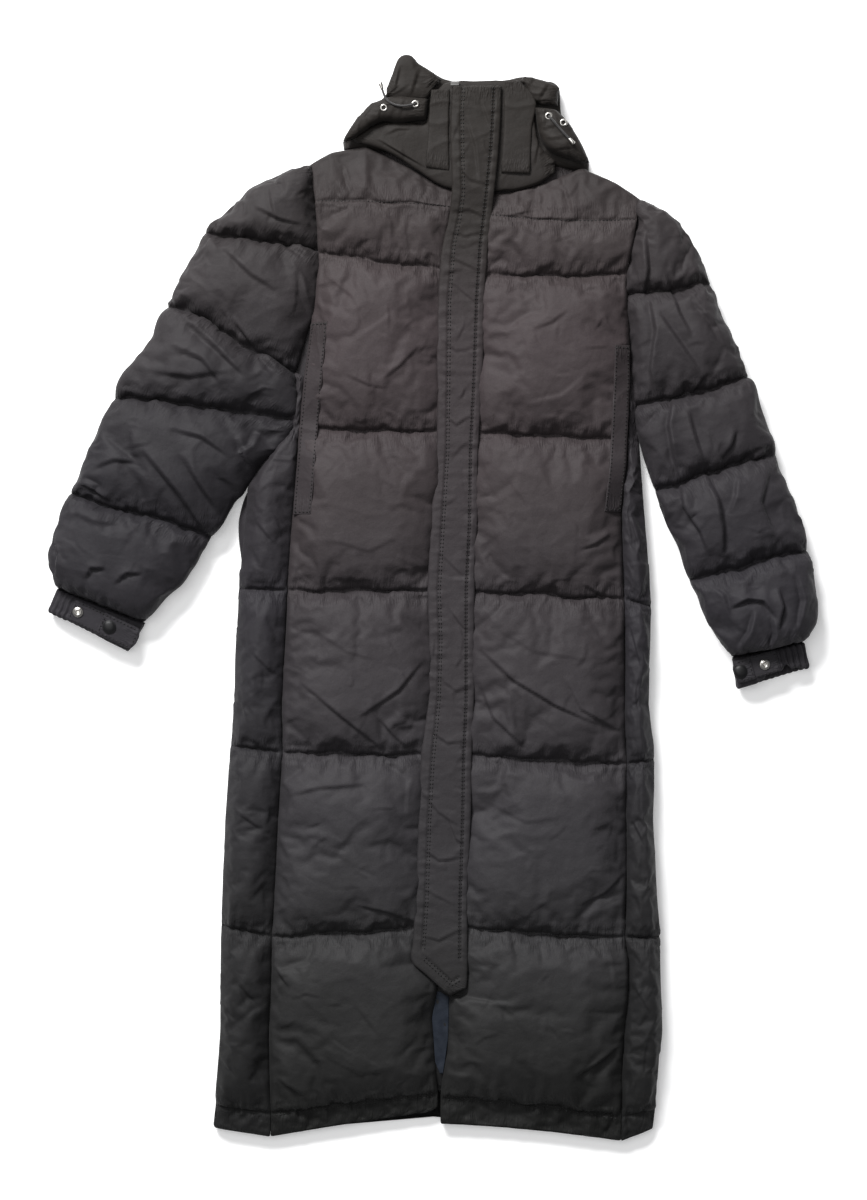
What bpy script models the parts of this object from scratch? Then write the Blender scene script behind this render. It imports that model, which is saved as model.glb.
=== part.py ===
"""A long quilted puffer coat, laid flat on its back with its front up and its hood folded behind it.

Metres, +Z up, the hem towards -Y and the hood towards +Y. "right" and "left" are the wearer's.
The back lies on the ground, the fronts and the side panels lie on it, and the flap, welts, collar
and hood edges lie on those. The padding swells between the stitched lines and is thin along them.
"""

import math

import bmesh
import bpy
from mathutils import Vector

GAP = 0.0003
COLLAR_GAP = 0.0018

# The seams that run down the body: where each one crosses each row, from right to left.
SEAM_COLUMNS = ("edge_r", "side_r", "front_r", "centre_r", "centre_l", "front_l", "side_l", "edge_l")
SEAMS = {
    "neck": (-0.143, -0.141, -0.140, 0.052, 0.052, 0.243, 0.244, 0.245),
    "yoke": (-0.135, -0.133, -0.132, 0.049, 0.049, 0.238, 0.239, 0.240),
    "chest": (-0.131, -0.130, -0.129, 0.041, 0.041, 0.227, 0.228, 0.229),
    "welt_top": (-0.139, -0.138, -0.137, 0.035, 0.035, 0.231, 0.232, 0.233),
    "armpit": (-0.159, -0.155, -0.145, 0.033, 0.033, 0.231, 0.237, 0.239),
    "waist": (-0.164, -0.162, -0.151, 0.032, 0.032, 0.228, 0.239, 0.241),
    "underarm": (-0.186, -0.184, -0.154, 0.031, 0.031, 0.227, 0.241, 0.243),
    "pocket": (-0.210, -0.198, -0.156, 0.030, 0.030, 0.223, 0.241, 0.245),
    "welt_foot": (-0.214, -0.202, -0.159, 0.029, 0.029, 0.221, 0.242, 0.246),
    "hip": (-0.222, -0.209, -0.164, 0.025, 0.025, 0.224, 0.249, 0.255),
    "seat_low": (-0.227, -0.215, -0.171, 0.021, 0.021, 0.225, 0.243, 0.252),
    "thigh": (-0.230, -0.220, -0.170, 0.018, 0.018, 0.227, 0.250, 0.259),
    "leg": (-0.236, -0.229, -0.175, 0.016, 0.016, 0.227, 0.251, 0.258),
    "leg_low": (-0.243, -0.233, -0.179, 0.014, 0.014, 0.227, 0.257, 0.263),
    "knee": (-0.241, -0.233, -0.182, 0.010, 0.013, 0.225, 0.258, 0.265),
    "flap_foot": (-0.241, -0.233, -0.183, 0.009, 0.015, 0.230, 0.259, 0.266),
    "vent_top": (-0.241, -0.234, -0.184, 0.008, 0.022, 0.229, 0.260, 0.267),
    "vent_wide": (-0.243, -0.235, -0.186, 0.002, 0.021, 0.224, 0.262, 0.269),
    "vent_low": (-0.246, -0.236, -0.186, 0.006, 0.015, 0.222, 0.260, 0.267),
    "hem_stitch": (-0.250, -0.240, -0.184, 0.009, 0.012, 0.222, 0.256, 0.261),
    "hem": (-0.251, -0.242, -0.185, 0.009, 0.012, 0.221, 0.253, 0.259),
}

# How far up each row lies where it meets those seams, and at the middle of each front.
LINE_COLUMNS = ("side_r", "front_r", "middle_r", "centre_r", "centre_l", "middle_l", "front_l", "side_l")
LINES = {
    "neck": (0.499, 0.500, 0.513, 0.469, 0.469, 0.489, 0.461, 0.460),
    "yoke": (0.459, 0.459, 0.457, 0.450, 0.446, 0.437, 0.438, 0.438),
    "chest": (0.400, 0.400, 0.389, 0.377, 0.377, 0.374, 0.377, 0.377),
    "welt_top": (0.320, 0.320, 0.315, 0.299, 0.299, 0.293, 0.293, 0.293),
    "armpit": (0.262, 0.259, 0.253, 0.244, 0.244, 0.247, 0.255, 0.255),
    "waist": (0.201, 0.200, 0.195, 0.195, 0.194, 0.189, 0.185, 0.183),
    "underarm": (0.164, 0.161, 0.159, 0.154, 0.154, 0.154, 0.155, 0.155),
    "pocket": (0.135, 0.132, 0.126, 0.121, 0.121, 0.121, 0.126, 0.131),
    "welt_foot": (0.100, 0.098, 0.098, 0.098, 0.098, 0.100, 0.101, 0.102),
    "hip": (0.013, 0.011, 0.011, 0.011, 0.010, 0.006, 0.001, -0.007),
    "seat_low": (-0.117, -0.121, -0.121, -0.121, -0.121, -0.126, -0.126, -0.126),
    "thigh": (-0.168, -0.176, -0.178, -0.178, -0.175, -0.184, -0.189, -0.184),
    "leg": (-0.253, -0.253, -0.253, -0.253, -0.253, -0.253, -0.253, -0.253),
    "leg_low": (-0.328, -0.328, -0.328, -0.328, -0.328, -0.328, -0.328, -0.328),
    "knee": (-0.375, -0.388, -0.383, -0.375, -0.375, -0.384, -0.389, -0.389),
    "flap_foot": (-0.415, -0.417, -0.416, -0.416, -0.416, -0.418, -0.418, -0.417),
    "vent_top": (-0.452, -0.452, -0.452, -0.452, -0.4585, -0.457, -0.452, -0.448),
    "vent_wide": (-0.500, -0.494, -0.490, -0.483, -0.508, -0.508, -0.504, -0.500),
    "vent_low": (-0.546, -0.544, -0.538, -0.534, -0.547, -0.552, -0.550, -0.540),
    "hem_stitch": (-0.584, -0.593, -0.580, -0.570, -0.574, -0.582, -0.597, -0.589),
    "hem": (-0.611, -0.621, -0.605, -0.591, -0.606, -0.613, -0.626, -0.612),
}

# The quilting lines: the back's upper face and the fronts' at each, and the swell of the cell below it.
QUILT_COLUMNS = ("back_top", "stitch_top", "swell")
QUILTING = {
    "neck": (0.018, 0.024, 0.008),
    "yoke": (0.018, 0.026, 0.014),
    "chest": (0.018, 0.026, 0.020),
    "waist": (0.018, 0.026, 0.020),
    "hip": (0.018, 0.026, 0.020),
    "thigh": (0.018, 0.026, 0.020),
    "knee": (0.018, 0.026, 0.018),
    "hem_stitch": (0.010, 0.016, 0.001),
    "hem": (0.007, 0.013, 0.0),
}

# The upper edges as points from right to left: of the fronts at the neck, and of the back behind them.
NECKLINE = (
    (-0.141, 0.500), (-0.117, 0.515), (-0.093, 0.524), (-0.069, 0.523), (-0.045, 0.513), (-0.021, 0.497),
    (0.003, 0.481), (0.028, 0.471), (0.052, 0.469), (0.077, 0.469), (0.100, 0.470), (0.124, 0.477),
    (0.147, 0.491), (0.172, 0.499), (0.195, 0.491), (0.220, 0.478), (0.244, 0.461),
)
BACK_NECK = (
    (-0.143, 0.499), (-0.117, 0.515), (-0.093, 0.524), (0.050, 0.514),
    (0.147, 0.506), (0.172, 0.500), (0.195, 0.491), (0.220, 0.478), (0.246, 0.460),
)

# The flap over the zip, from the collar down to its point: (y, right edge, left edge, underside).
FLAP = (
    (0.591, 0.026, 0.083, 0.0346),
    (0.564, 0.0235, 0.082, 0.0346),
    (0.517, 0.024, 0.079, 0.0346),
    (0.467, 0.025, 0.074, 0.0346),
    (0.440, 0.021, 0.071, 0.0300),
    (0.408, 0.014, 0.067, 0.0285),
    (0.345, 0.009, 0.063, 0.0285),
    (0.253, 0.008, 0.060, 0.0285),
    (0.172, 0.007, 0.056, 0.0285),
    (0.092, 0.002, 0.055, 0.0285),
    (0.011, -0.003, 0.051, 0.0285),
    (-0.046, -0.001, 0.051, 0.0285),
    (-0.115, -0.003, 0.051, 0.0285),
    (-0.184, -0.010, 0.048, 0.0285),
    (-0.253, -0.014, 0.047, 0.0285),
    (-0.345, -0.017, 0.044, 0.0285),
    (-0.416, -0.022, 0.043, 0.0285),
    (-0.438, 0.001, 0.043, 0.0285),
    (-0.459, 0.025, 0.041, 0.0285),
)
FLAP_THICKNESS = 0.0065
FLAP_EDGE = 0.0045
SEAT_TOP = 0.028
VENT_SEAT = 0.010
SEATED = (
    "chest", "welt_top", "armpit", "waist", "underarm", "pocket", "welt_foot", "hip", "seat_low", "thigh",
    "leg", "leg_low",
)
SEAT_MARGIN = 0.0015

# The sleeves, from the shoulder to the cuff: (section, stitched, outer point, inner point).
SLEEVE_R = (
    ("cap", 1, -0.153, 0.497, -0.146, 0.492),
    ("shoulder", 0, -0.193, 0.482, -0.139, 0.472),
    ("crown", 0, -0.232, 0.451, -0.137, 0.440),
    ("upper", 1, -0.260, 0.422, -0.136, 0.404),
    ("upper_low", 0, -0.285, 0.379, -0.143, 0.338),
    ("bicep", 1, -0.305, 0.344, -0.166, 0.262),
    ("bicep_low", 0, -0.336, 0.285, -0.168, 0.237),
    ("elbow", 1, -0.368, 0.233, -0.171, 0.210),
    ("elbow_low", 0, -0.390, 0.179, -0.194, 0.172),
    ("arm", 0, -0.407, 0.145, -0.222, 0.134),
    ("forearm", 1, -0.419, 0.124, -0.250, 0.075),
    ("forearm_low", 0, -0.430, 0.092, -0.271, 0.042),
    ("balloon", 0, -0.440, 0.055, -0.293, 0.013),
    ("end", 1, -0.431, 0.014, -0.330, -0.026),
)
SLEEVE_L = (
    ("cap", 1, 0.256, 0.456, 0.249, 0.452),
    ("shoulder", 0, 0.283, 0.436, 0.244, 0.428),
    ("crown", 0, 0.306, 0.402, 0.238, 0.396),
    ("upper", 1, 0.325, 0.363, 0.236, 0.352),
    ("upper_low", 0, 0.347, 0.307, 0.243, 0.293),
    ("bicep", 1, 0.371, 0.255, 0.2465, 0.224),
    ("bicep_low", 0, 0.388, 0.202, 0.2475, 0.172),
    ("elbow", 1, 0.400, 0.164, 0.256, 0.122),
    ("arm", 0, 0.420, 0.112, 0.278, 0.076),
    ("forearm", 1, 0.438, 0.061, 0.299, 0.024),
    ("forearm_low", 0, 0.443, 0.017, 0.313, -0.010),
    ("balloon", 0, 0.446, -0.023, 0.330, -0.043),
    ("end", 1, 0.432, -0.048, 0.350, -0.066),
)
SLEEVE_STITCHED = 0.026
SLEEVE_SWELL = 0.022
SLEEVE_WALL = 0.013
SLIT = 0.0016

# The cuffs: (outer and inner point at the seam, outer and inner point at the mouth).
CUFFS = {
    "right": (((-0.431, 0.0125), (-0.330, -0.0278)), ((-0.442, -0.014), (-0.350, -0.060))),
    "left": (((0.432, -0.0500), (0.350, -0.0680)), ((0.438, -0.079), (0.356, -0.104))),
}
CUFF_HEIGHT = 0.022
CUFF_WALL = 0.008

# Each cuff's tab: its two ends, and its snap's two halves; and the snap's sizes.
TABS = {
    "right": ((-0.423, -0.006), (-0.339, -0.046), (-0.406, -0.014), (-0.370, -0.031)),
    "left": ((0.430, -0.061), (0.352, -0.084), (0.386, -0.0745), (0.3585, -0.0825)),
}
TAB_WIDTH = 0.020
TAB_THICKNESS = 0.0025
SOCKET = (0.0060, 0.0022)
CAP = (0.0078, 0.0030)

# The collar and the hood: outlines, and the heights between which each piece lies.
HOOD = (
    (-0.101, 0.528), (-0.092, 0.543), (-0.084, 0.554), (-0.071, 0.568), (-0.052, 0.578), (-0.046, 0.592),
    (-0.040, 0.610), (-0.036, 0.623), (-0.028, 0.627), (-0.020, 0.620), (-0.008, 0.616), (0.003, 0.611),
    (0.016, 0.600), (0.046, 0.599), (0.069, 0.599), (0.092, 0.603), (0.107, 0.606), (0.126, 0.601),
    (0.150, 0.594), (0.149, 0.578), (0.148, 0.561), (0.159, 0.550), (0.167, 0.538), (0.175, 0.526),
    (0.181, 0.512), (0.185, 0.501), (0.172, 0.503), (0.147, 0.509), (0.050, 0.517), (-0.092, 0.527),
)
PEAK_R = (
    (-0.051, 0.580), (-0.045, 0.592), (-0.039, 0.609), (-0.035, 0.621), (-0.029, 0.625), (-0.021, 0.618),
    (-0.009, 0.614), (0.002, 0.609), (0.014, 0.599), (0.002, 0.592), (-0.001, 0.580),
)
PEAK_L = (
    (0.105, 0.600), (0.109, 0.604), (0.126, 0.599), (0.149, 0.593), (0.148, 0.579), (0.147, 0.568),
    (0.136, 0.5705), (0.1215, 0.5715), (0.1215, 0.585), (0.1105, 0.588),
)
BRIM_R = (
    (-0.100, 0.528), (-0.091, 0.543), (-0.083, 0.554), (-0.070, 0.567), (-0.052, 0.5775), (-0.025, 0.5775),
    (-0.002, 0.5765), (-0.0045, 0.5535), (-0.023, 0.552), (-0.031, 0.548), (-0.053, 0.553), (-0.070, 0.545),
    (-0.087, 0.533),
)
BRIM_L = (
    (0.1205, 0.568), (0.136, 0.567), (0.147, 0.560), (0.158, 0.550), (0.166, 0.538), (0.174, 0.526),
    (0.180, 0.512), (0.184, 0.502), (0.168, 0.504), (0.149, 0.509), (0.131, 0.517), (0.125, 0.535),
    (0.122, 0.552),
)
COLLAR_TOP = (
    (-0.088, 0.5305), (-0.070, 0.5425), (-0.053, 0.5505), (-0.031, 0.5455), (-0.022, 0.5495),
    (-0.002, 0.551), (0.0005, 0.577), (0.001, 0.587), (0.016, 0.593), (0.032, 0.598), (0.052, 0.598),
    (0.081, 0.598), (0.102, 0.598), (0.107, 0.5855), (0.1185, 0.582), (0.1185, 0.568), (0.1200, 0.552),
    (0.1225, 0.535), (0.129, 0.516), (0.144, 0.507),
)
COLLAR_TAB_R = (
    (0.001, 0.587), (0.0222, 0.588), (0.021, 0.540), (0.022, 0.494), (-0.005, 0.498), (-0.002, 0.540),
)
COLLAR_TAB_L = (
    (0.086, 0.597), (0.102, 0.597), (0.107, 0.585), (0.1175, 0.583), (0.117, 0.540), (0.115, 0.491),
    (0.081, 0.492), (0.0845, 0.540),
)
HOOD_LEVELS = (0.0, 0.022)
BRIM_LEVELS = (0.0223, 0.044)
PEAK_LEVELS = (0.0223, 0.036)
COLLAR_LEVELS = (0.0223, 0.034)
COLLAR_TAB_LEVELS = (0.0343, 0.041)

# The drawcords: the points that each one follows from its eyelet to its end.
CORDS = {
    "right": (
        (-0.0170, 0.5690, 0.0470), (-0.0230, 0.5672, 0.0486), (-0.0300, 0.5662, 0.0488),
        (-0.0370, 0.5668, 0.0484), (-0.0430, 0.5688, 0.0478), (-0.0480, 0.5722, 0.0474),
        (-0.0515, 0.5768, 0.0470), (-0.0535, 0.5815, 0.0466), (-0.0548, 0.5855, 0.0462),
    ),
    "left": (
        (0.1360, 0.5550, 0.0470), (0.1388, 0.5520, 0.0484), (0.1420, 0.5482, 0.0486),
        (0.1455, 0.5442, 0.0484), (0.1490, 0.5402, 0.0482), (0.1525, 0.5362, 0.0480),
        (0.1560, 0.5325, 0.0478), (0.1592, 0.5290, 0.0478),
    ),
}
CORD_DIAMETER = 0.0026
EYELETS = {
    "eyelet_right_front": (-0.017, 0.569),
    "eyelet_right_back": (-0.053, 0.5645),
    "eyelet_left_front": (0.136, 0.555),
    "eyelet_left_back": (0.153, 0.5475),
}
EYELET_RADIUS = 0.0036
EYELET_WIRE = 0.0012
CORD_END = (0.0024, 0.0085)

ROWS = tuple(SEAMS)
STITCHED = tuple(QUILTING)

for old in list(bpy.data.objects):
    bpy.data.objects.remove(old)
coat = bpy.data.collections.new("long_puffer_coat")
bpy.context.scene.collection.children.link(coat)
root = bpy.data.objects.new("coat_origin", None)
coat.objects.link(root)


def finish(name, colour, roughness, metallic=0.0):
    """A Principled material of one colour."""
    made = bpy.data.materials.new(name)
    made.use_nodes = True
    shader = made.node_tree.nodes["Principled BSDF"]
    shader.inputs["Base Color"].default_value = (*colour, 1.0)
    shader.inputs["Roughness"].default_value = roughness
    shader.inputs["Metallic"].default_value = metallic
    return made


SHELL = finish("shell_cloth", (0.030, 0.026, 0.025), 0.62)
LINING = finish("lining_cloth", (0.020, 0.026, 0.042), 0.55)
CORDAGE = finish("cord", (0.012, 0.011, 0.011), 0.6)
METAL = finish("plated_metal", (0.62, 0.60, 0.57), 0.3, 1.0)
PLASTIC = finish("snap_plastic", (0.012, 0.012, 0.013), 0.45)


def add(name, mesh, material):
    """Makes a named object of the coat from a bmesh."""
    bmesh.ops.recalc_face_normals(mesh, faces=mesh.faces[:])
    data = bpy.data.meshes.new(name)
    mesh.to_mesh(data)
    mesh.free()
    data.materials.append(material)
    piece = bpy.data.objects.new(name, data)
    piece.parent = root
    coat.objects.link(piece)
    return piece


def layer(name, rows, columns, place, material=SHELL):
    """A layer of cloth: a grid whose lower and upper points go where place(row, column, is_upper) says."""
    mesh = bmesh.new()
    bmesh.ops.create_grid(mesh, x_segments=columns - 1, y_segments=rows - 1, size=1.0)
    raised = bmesh.ops.extrude_face_region(mesh, geom=mesh.faces[:])["geom"]
    upper = {part for part in raised if isinstance(part, bmesh.types.BMVert)}
    for vert in mesh.verts:
        row = round((vert.co.y + 1.0) / 2.0 * (rows - 1))
        column = round((vert.co.x + 1.0) / 2.0 * (columns - 1))
        vert.co = place(row, column, vert in upper)
    return add(name, mesh, material)


def slab(name, outline, levels, rounding, material=SHELL):
    """A flat pad of the given outline, its upper edge rounded."""
    mesh = bmesh.new()
    base = mesh.faces.new([mesh.verts.new((x, y, levels[0])) for x, y in outline])
    raised = bmesh.ops.extrude_face_region(mesh, geom=[base])["geom"]
    for part in raised:
        if isinstance(part, bmesh.types.BMVert):
            part.co.z = levels[1]
    tops = [part for part in raised if isinstance(part, bmesh.types.BMFace)]
    rim = list({edge for face in tops for edge in face.edges})
    bmesh.ops.bevel(
        mesh,
        geom=rim,
        offset=rounding,
        segments=2,
        profile=0.5,
        affect="EDGES",
        clamp_overlap=True,
        material=-1,
    )
    return add(name, mesh, material)


def along(points, x):
    """The height of a line of (x, y) points at x."""
    for (x0, y0), (x1, y1) in zip(points, points[1:]):
        if x <= x1:
            return y0 + (y1 - y0) * max(0.0, (x - x0) / (x1 - x0))
    return points[-1][1]


def swell(t, power=3.0):
    """The rise of a padded cell, 0 at its stitched ends and 1 over most of its middle."""
    return math.sqrt(max(0.0, 1.0 - abs(2.0 * min(max(t, 0.0), 1.0) - 1.0) ** power))


# Body: rows
VALLEY = 0.007


def stations():
    """The rows of points down the body, as (row, row below, share), with one each side of a stitched row."""
    found = []
    for index, (row, below) in enumerate(zip(ROWS, ROWS[1:])):
        height = abs(LINES[row][3] - LINES[below][3])
        found.append((row, below, 0.0))
        if row in STITCHED:
            found.append((row, below, VALLEY / height))
        if below in STITCHED:
            found.append((row, below, 1.0 - VALLEY / height))
    found.append((ROWS[-2], ROWS[-1], 1.0))
    return found


STATIONS = stations()


def mix(a, b, share):
    return a + (b - a) * share


def seam(column, station):
    """Where a seam runs at a station."""
    index = SEAM_COLUMNS.index(column)
    return mix(SEAMS[station[0]][index], SEAMS[station[1]][index], station[2])


def row_height(row, x, edge_line):
    """How far up a row lies at x: through three points on each front, and along edge_line at the neck."""
    if row == "neck":
        return along(edge_line, x)
    seams = dict(zip(SEAM_COLUMNS, SEAMS[row]))
    line = dict(zip(LINE_COLUMNS, LINES[row]))
    if x <= seams["front_r"]:
        return along(((seams["side_r"], line["side_r"]), (seams["front_r"], line["front_r"])), x)
    if x >= seams["front_l"]:
        return along(((seams["front_l"], line["front_l"]), (seams["side_l"], line["side_l"])), x)
    middle = (seams["centre_r"] + seams["centre_l"]) / 2.0
    side = "r" if x < middle else "l"
    start, end = seams[f"front_{side}"], seams[f"centre_{side}"]
    share = min(max((x - start) / (end - start), 0.0), 1.0)
    first, half, last = line[f"front_{side}"], line[f"middle_{side}"], line[f"centre_{side}"]
    bend = 4.0 * share * (1.0 - share)
    return mix(first, last, share) + bend * (half - (first + last) / 2.0)


def height_at(station, x, edge_line=NECKLINE):
    return mix(row_height(station[0], x, edge_line), row_height(station[1], x, edge_line), station[2])


SLOPE_CLEARANCE = 0.1


def on_back(back_top):
    """The underside of what lies on the back: just clear of it, and a little more near the hem."""
    return back_top + GAP + SLOPE_CLEARANCE * (QUILTING["yoke"][0] - back_top)


def levels_at(station, x):
    """The back's upper face, the stitched height and the swell at a station."""
    place = ROWS.index(station[0]) + station[2]
    above = [row for row in STITCHED if ROWS.index(row) <= place + 1e-6][-1]
    if above == STITCHED[-1]:
        return (*QUILTING[above][:2], 0.0)
    below = STITCHED[STITCHED.index(above) + 1]
    top, bottom = row_height(above, x, NECKLINE), row_height(below, x, NECKLINE)
    share = min(max((top - height_at(station, x)) / (top - bottom), 0.0), 1.0)
    back_top = mix(QUILTING[above][0], QUILTING[below][0], share)
    stitch_top = mix(QUILTING[above][1], QUILTING[below][1], share)
    return back_top, stitch_top, QUILTING[above][2] * swell(share)


# Fronts
FRONT_SHARES = (0.0, 0.02, 0.07, 0.16, 0.4, 0.7, 0.9, 0.965)


def flap_edge(side, y):
    """The x of the flap's edge at a height, or None below its point."""
    column = 1 if side == "r" else 2
    if y < FLAP[-1][0]:
        return None
    return along([(-row[0], row[column]) for row in FLAP], -y)


def front_columns(side, station):
    """The x of each column of a front, from its side seam to its centre edge, and how full it is there."""
    sign = 1.0 if side == "r" else -1.0
    outer = seam(f"front_{side}", station) + sign * GAP / 2.0
    centre = seam(f"centre_{side}", station) - sign * GAP / 2.0
    lying = flap_edge(side, height_at(station, centre))
    inner = centre - sign * VENT_SEAT if lying is None else lying
    if (centre - inner) * sign < VENT_SEAT / 2.0:
        inner = centre - sign * VENT_SEAT / 2.0
    columns = [(mix(outer, inner, share), swell(share, 2.6)) for share in FRONT_SHARES]
    return columns + [(inner - sign * SEAT_MARGIN, -1.0), (centre, -1.0)]


def front_point(side, station, column, lift):
    """A point of a front's upper face, moved up by lift."""
    x, fullness = front_columns(side, station)[column]
    back_top, stitch_top, rise = levels_at(station, x)
    y = height_at(station, x)
    if fullness >= 0.0:
        return Vector((x, y, stitch_top + rise * fullness + lift))
    return Vector((x, y, (SEAT_TOP if station[0] in SEATED else stitch_top) + lift))


def make_front(side, name):
    def place(row, column, is_upper):
        point = front_point(side, STATIONS[row], column, 0.0)
        if not is_upper:
            point.z = on_back(levels_at(STATIONS[row], point.x)[0])
        return point

    return layer(name, len(STATIONS), len(FRONT_SHARES) + 2, place)


make_front("r", "front_right")
make_front("l", "front_left")

# Pocket welts: a strip along each front's side seam, on the front
WELT_THICKNESS = 0.0028
WELT_COLUMNS = 3


def make_welt(side, name):
    first = next(i for i, station in enumerate(STATIONS) if station[0] == "welt_top")
    last = next(i for i, station in enumerate(STATIONS) if station[0] == "welt_foot")

    def place(row, column, is_upper):
        lift = GAP + (WELT_THICKNESS if is_upper else 0.0)
        return front_point(side, STATIONS[first + row], 1 + column, lift)

    return layer(name, last - first + 1, WELT_COLUMNS, place)


make_welt("r", "pocket_welt_right")
make_welt("l", "pocket_welt_left")

# Side panels, between the side seams and the fronts
SIDE_SHARES = (0.0, 0.12, 0.5, 0.88, 1.0)
SIDE_FULLNESS = 0.6


def make_side(side, name):
    sign = 1.0 if side == "r" else -1.0
    first = next(i for i, station in enumerate(STATIONS) if station[0] == "armpit")

    def place(row, column, is_upper):
        station = STATIONS[first + row]
        outer = seam(f"side_{side}", station) + sign * GAP / 2.0
        inner = seam(f"front_{side}", station) - sign * GAP / 2.0
        x = mix(outer, inner, SIDE_SHARES[column])
        back_top, stitch_top, rise = levels_at(station, x)
        full = stitch_top + SIDE_FULLNESS * rise * swell(SIDE_SHARES[column])
        return Vector((x, height_at(station, x), full if is_upper else on_back(back_top)))

    return layer(name, len(STATIONS) - first, len(SIDE_SHARES), place)


make_side("r", "side_panel_right")
make_side("l", "side_panel_left")

# Back: flat underneath, curling up round both sides to the side seams
BACK_SHARES = (0.15, 0.5, 0.85)
CURL = 0.012
UNDERCUT = 0.004
LEAST_CURL = 0.1
STEP_BACK = 0.0001


def back_columns(station):
    """(upper x, upper z, lower x) of each column across the back, from right to left."""
    halves = []
    for side, sign in (("r", 1.0), ("l", -1.0)):
        edge = seam(f"edge_{side}", station)
        meets = seam(f"side_{side}", station) - sign * GAP / 2.0
        back_top, stitch_top, _ = levels_at(station, meets)
        curled = max(LEAST_CURL, min(1.0, abs(meets - edge) / CURL))
        lip = mix(back_top, stitch_top, curled)
        halves.append(
            (
                (edge, 0.45 * lip, edge + sign * UNDERCUT),
                (mix(edge, meets, 0.25), 0.85 * lip, edge + sign * 1.5 * UNDERCUT),
                (meets, lip, edge + sign * 3.0 * UNDERCUT),
                (meets + sign * STEP_BACK, back_top, edge + sign * 5.0 * UNDERCUT),
            )
        )
    right, left = halves
    middle = []
    for share in BACK_SHARES:
        x = mix(right[-1][0], left[-1][0], share)
        middle.append((x, levels_at(station, x)[0], mix(right[-1][2], left[-1][2], share)))
    return [*right, *middle, *reversed(left)]


def place_back(row, column, is_upper):
    station = STATIONS[row]
    upper_x, upper_z, lower_x = back_columns(station)[column]
    y = height_at(station, upper_x, BACK_NECK)
    return Vector((upper_x, y, upper_z)) if is_upper else Vector((lower_x, y, 0.0))


layer("back", len(STATIONS), 8 + len(BACK_SHARES), place_back)

# Lining, where the open front edges show it above the hem
LINING_THICKNESS = 0.0008
LINING_MARGIN = 0.0018
LINING_FIRST = next(i for i, station in enumerate(STATIONS) if station[0] == "vent_top")
LINING_LAST = next(i for i, station in enumerate(STATIONS) if station[0] == "vent_low")


def place_lining(row, column, is_upper):
    station = STATIONS[LINING_FIRST + row]
    if column == 0:
        x = seam("centre_r", station) + LINING_MARGIN
    else:
        x = seam("centre_l", station) - LINING_MARGIN
    back_top = max(levels_at(station, x)[0], QUILTING["knee"][0])
    return Vector((x, height_at(station, x), back_top + GAP + (LINING_THICKNESS if is_upper else 0.0)))


layer("lining", LINING_LAST - LINING_FIRST + 1, 2, place_lining, LINING)

# Flap over the zip, stitched along both edges
FLAP_SHARES = (0.0, 0.07, 0.25, 0.75, 0.93, 1.0)


def place_flap(row, column, is_upper):
    y, right, left, under = FLAP[row]
    share = FLAP_SHARES[column]
    thickness = FLAP_EDGE if share in (0.0, 1.0) else FLAP_THICKNESS
    return Vector((mix(right, left, share), y, under + (thickness if is_upper else 0.0)))


layer("front_flap", len(FLAP), len(FLAP_SHARES), place_flap)

# Sleeves and cuffs: flattened tubes, open at the cuff
RING = 16
# A tube's widest point is this share of its height up; its corners are square by this power.
MID_HEIGHT = 0.46
SQUARENESS = 0.75
LEAST_OPENING = 0.35


def flattened(corner_a, corner_b, height, wall, slit):
    """Two rings of points, the outer and the inner face of a tube pressed flat between two edge points."""
    a, b = Vector((*corner_a, 0.0)), Vector((*corner_b, 0.0))
    centre, across = (a + b) / 2.0, (b - a) / 2.0
    inner_share = max(LEAST_OPENING, 1.0 - wall / across.length)
    rings = [], []
    for k in range(RING):
        angle = 2.0 * math.pi * k / RING
        wide = math.copysign(abs(math.cos(angle)) ** SQUARENESS, math.cos(angle))
        tall = math.copysign(abs(math.sin(angle)) ** SQUARENESS, math.sin(angle))
        lift = max(0.0, height * (MID_HEIGHT + (1.0 - MID_HEIGHT) * tall))
        rings[0].append(centre + across * wide + Vector((0, 0, lift)))
        middle = MID_HEIGHT * height + slit / 2.0 * tall
        rings[1].append(centre + across * inner_share * wide + Vector((0, 0, middle)))
    return rings


def tube(name, sections, wall, slit):
    """A tube through sections of (edge point, edge point, height), with both its ends open."""
    mesh = bmesh.new()
    loops = [[], []]
    for corner_a, corner_b, height in sections:
        for side, ring in enumerate(flattened(corner_a, corner_b, height, wall, slit)):
            loops[side].append([mesh.verts.new(point) for point in ring])
    path = loops[0] + loops[1][::-1]
    for here, there in zip(path, path[1:] + path[:1]):
        for k in range(RING):
            mesh.faces.new((here[k], here[(k + 1) % RING], there[(k + 1) % RING], there[k]))
    return add(name, mesh, SHELL)


def sleeve_sections(rows):
    """The sections of a sleeve, with more beside each stitched one, and the swell between them."""
    lengths = [0.0]
    for above, below in zip(rows, rows[1:]):
        lengths.append(lengths[-1] + math.hypot(below[2] - above[2], below[3] - above[3]))
    stops = [lengths[i] for i, row in enumerate(rows) if row[1]]
    sections = []
    for index, (above, below) in enumerate(zip(rows, rows[1:])):
        shares = [0.0]
        if above[1]:
            shares.append(VALLEY / (lengths[index + 1] - lengths[index]))
        if below[1]:
            shares.append(1.0 - VALLEY / (lengths[index + 1] - lengths[index]))
        for share in shares + ([1.0] if index == len(rows) - 2 else []):
            at = mix(lengths[index], lengths[index + 1], share)
            start = max(stop for stop in stops[:-1] if stop <= at + 1e-6)
            end = stops[stops.index(start) + 1]
            outer = (mix(above[2], below[2], share), mix(above[3], below[3], share))
            inner = (mix(above[4], below[4], share), mix(above[5], below[5], share))
            rise = SLEEVE_SWELL * swell((at - start) / (end - start))
            sections.append((outer, inner, SLEEVE_STITCHED + rise))
    return sections


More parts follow.
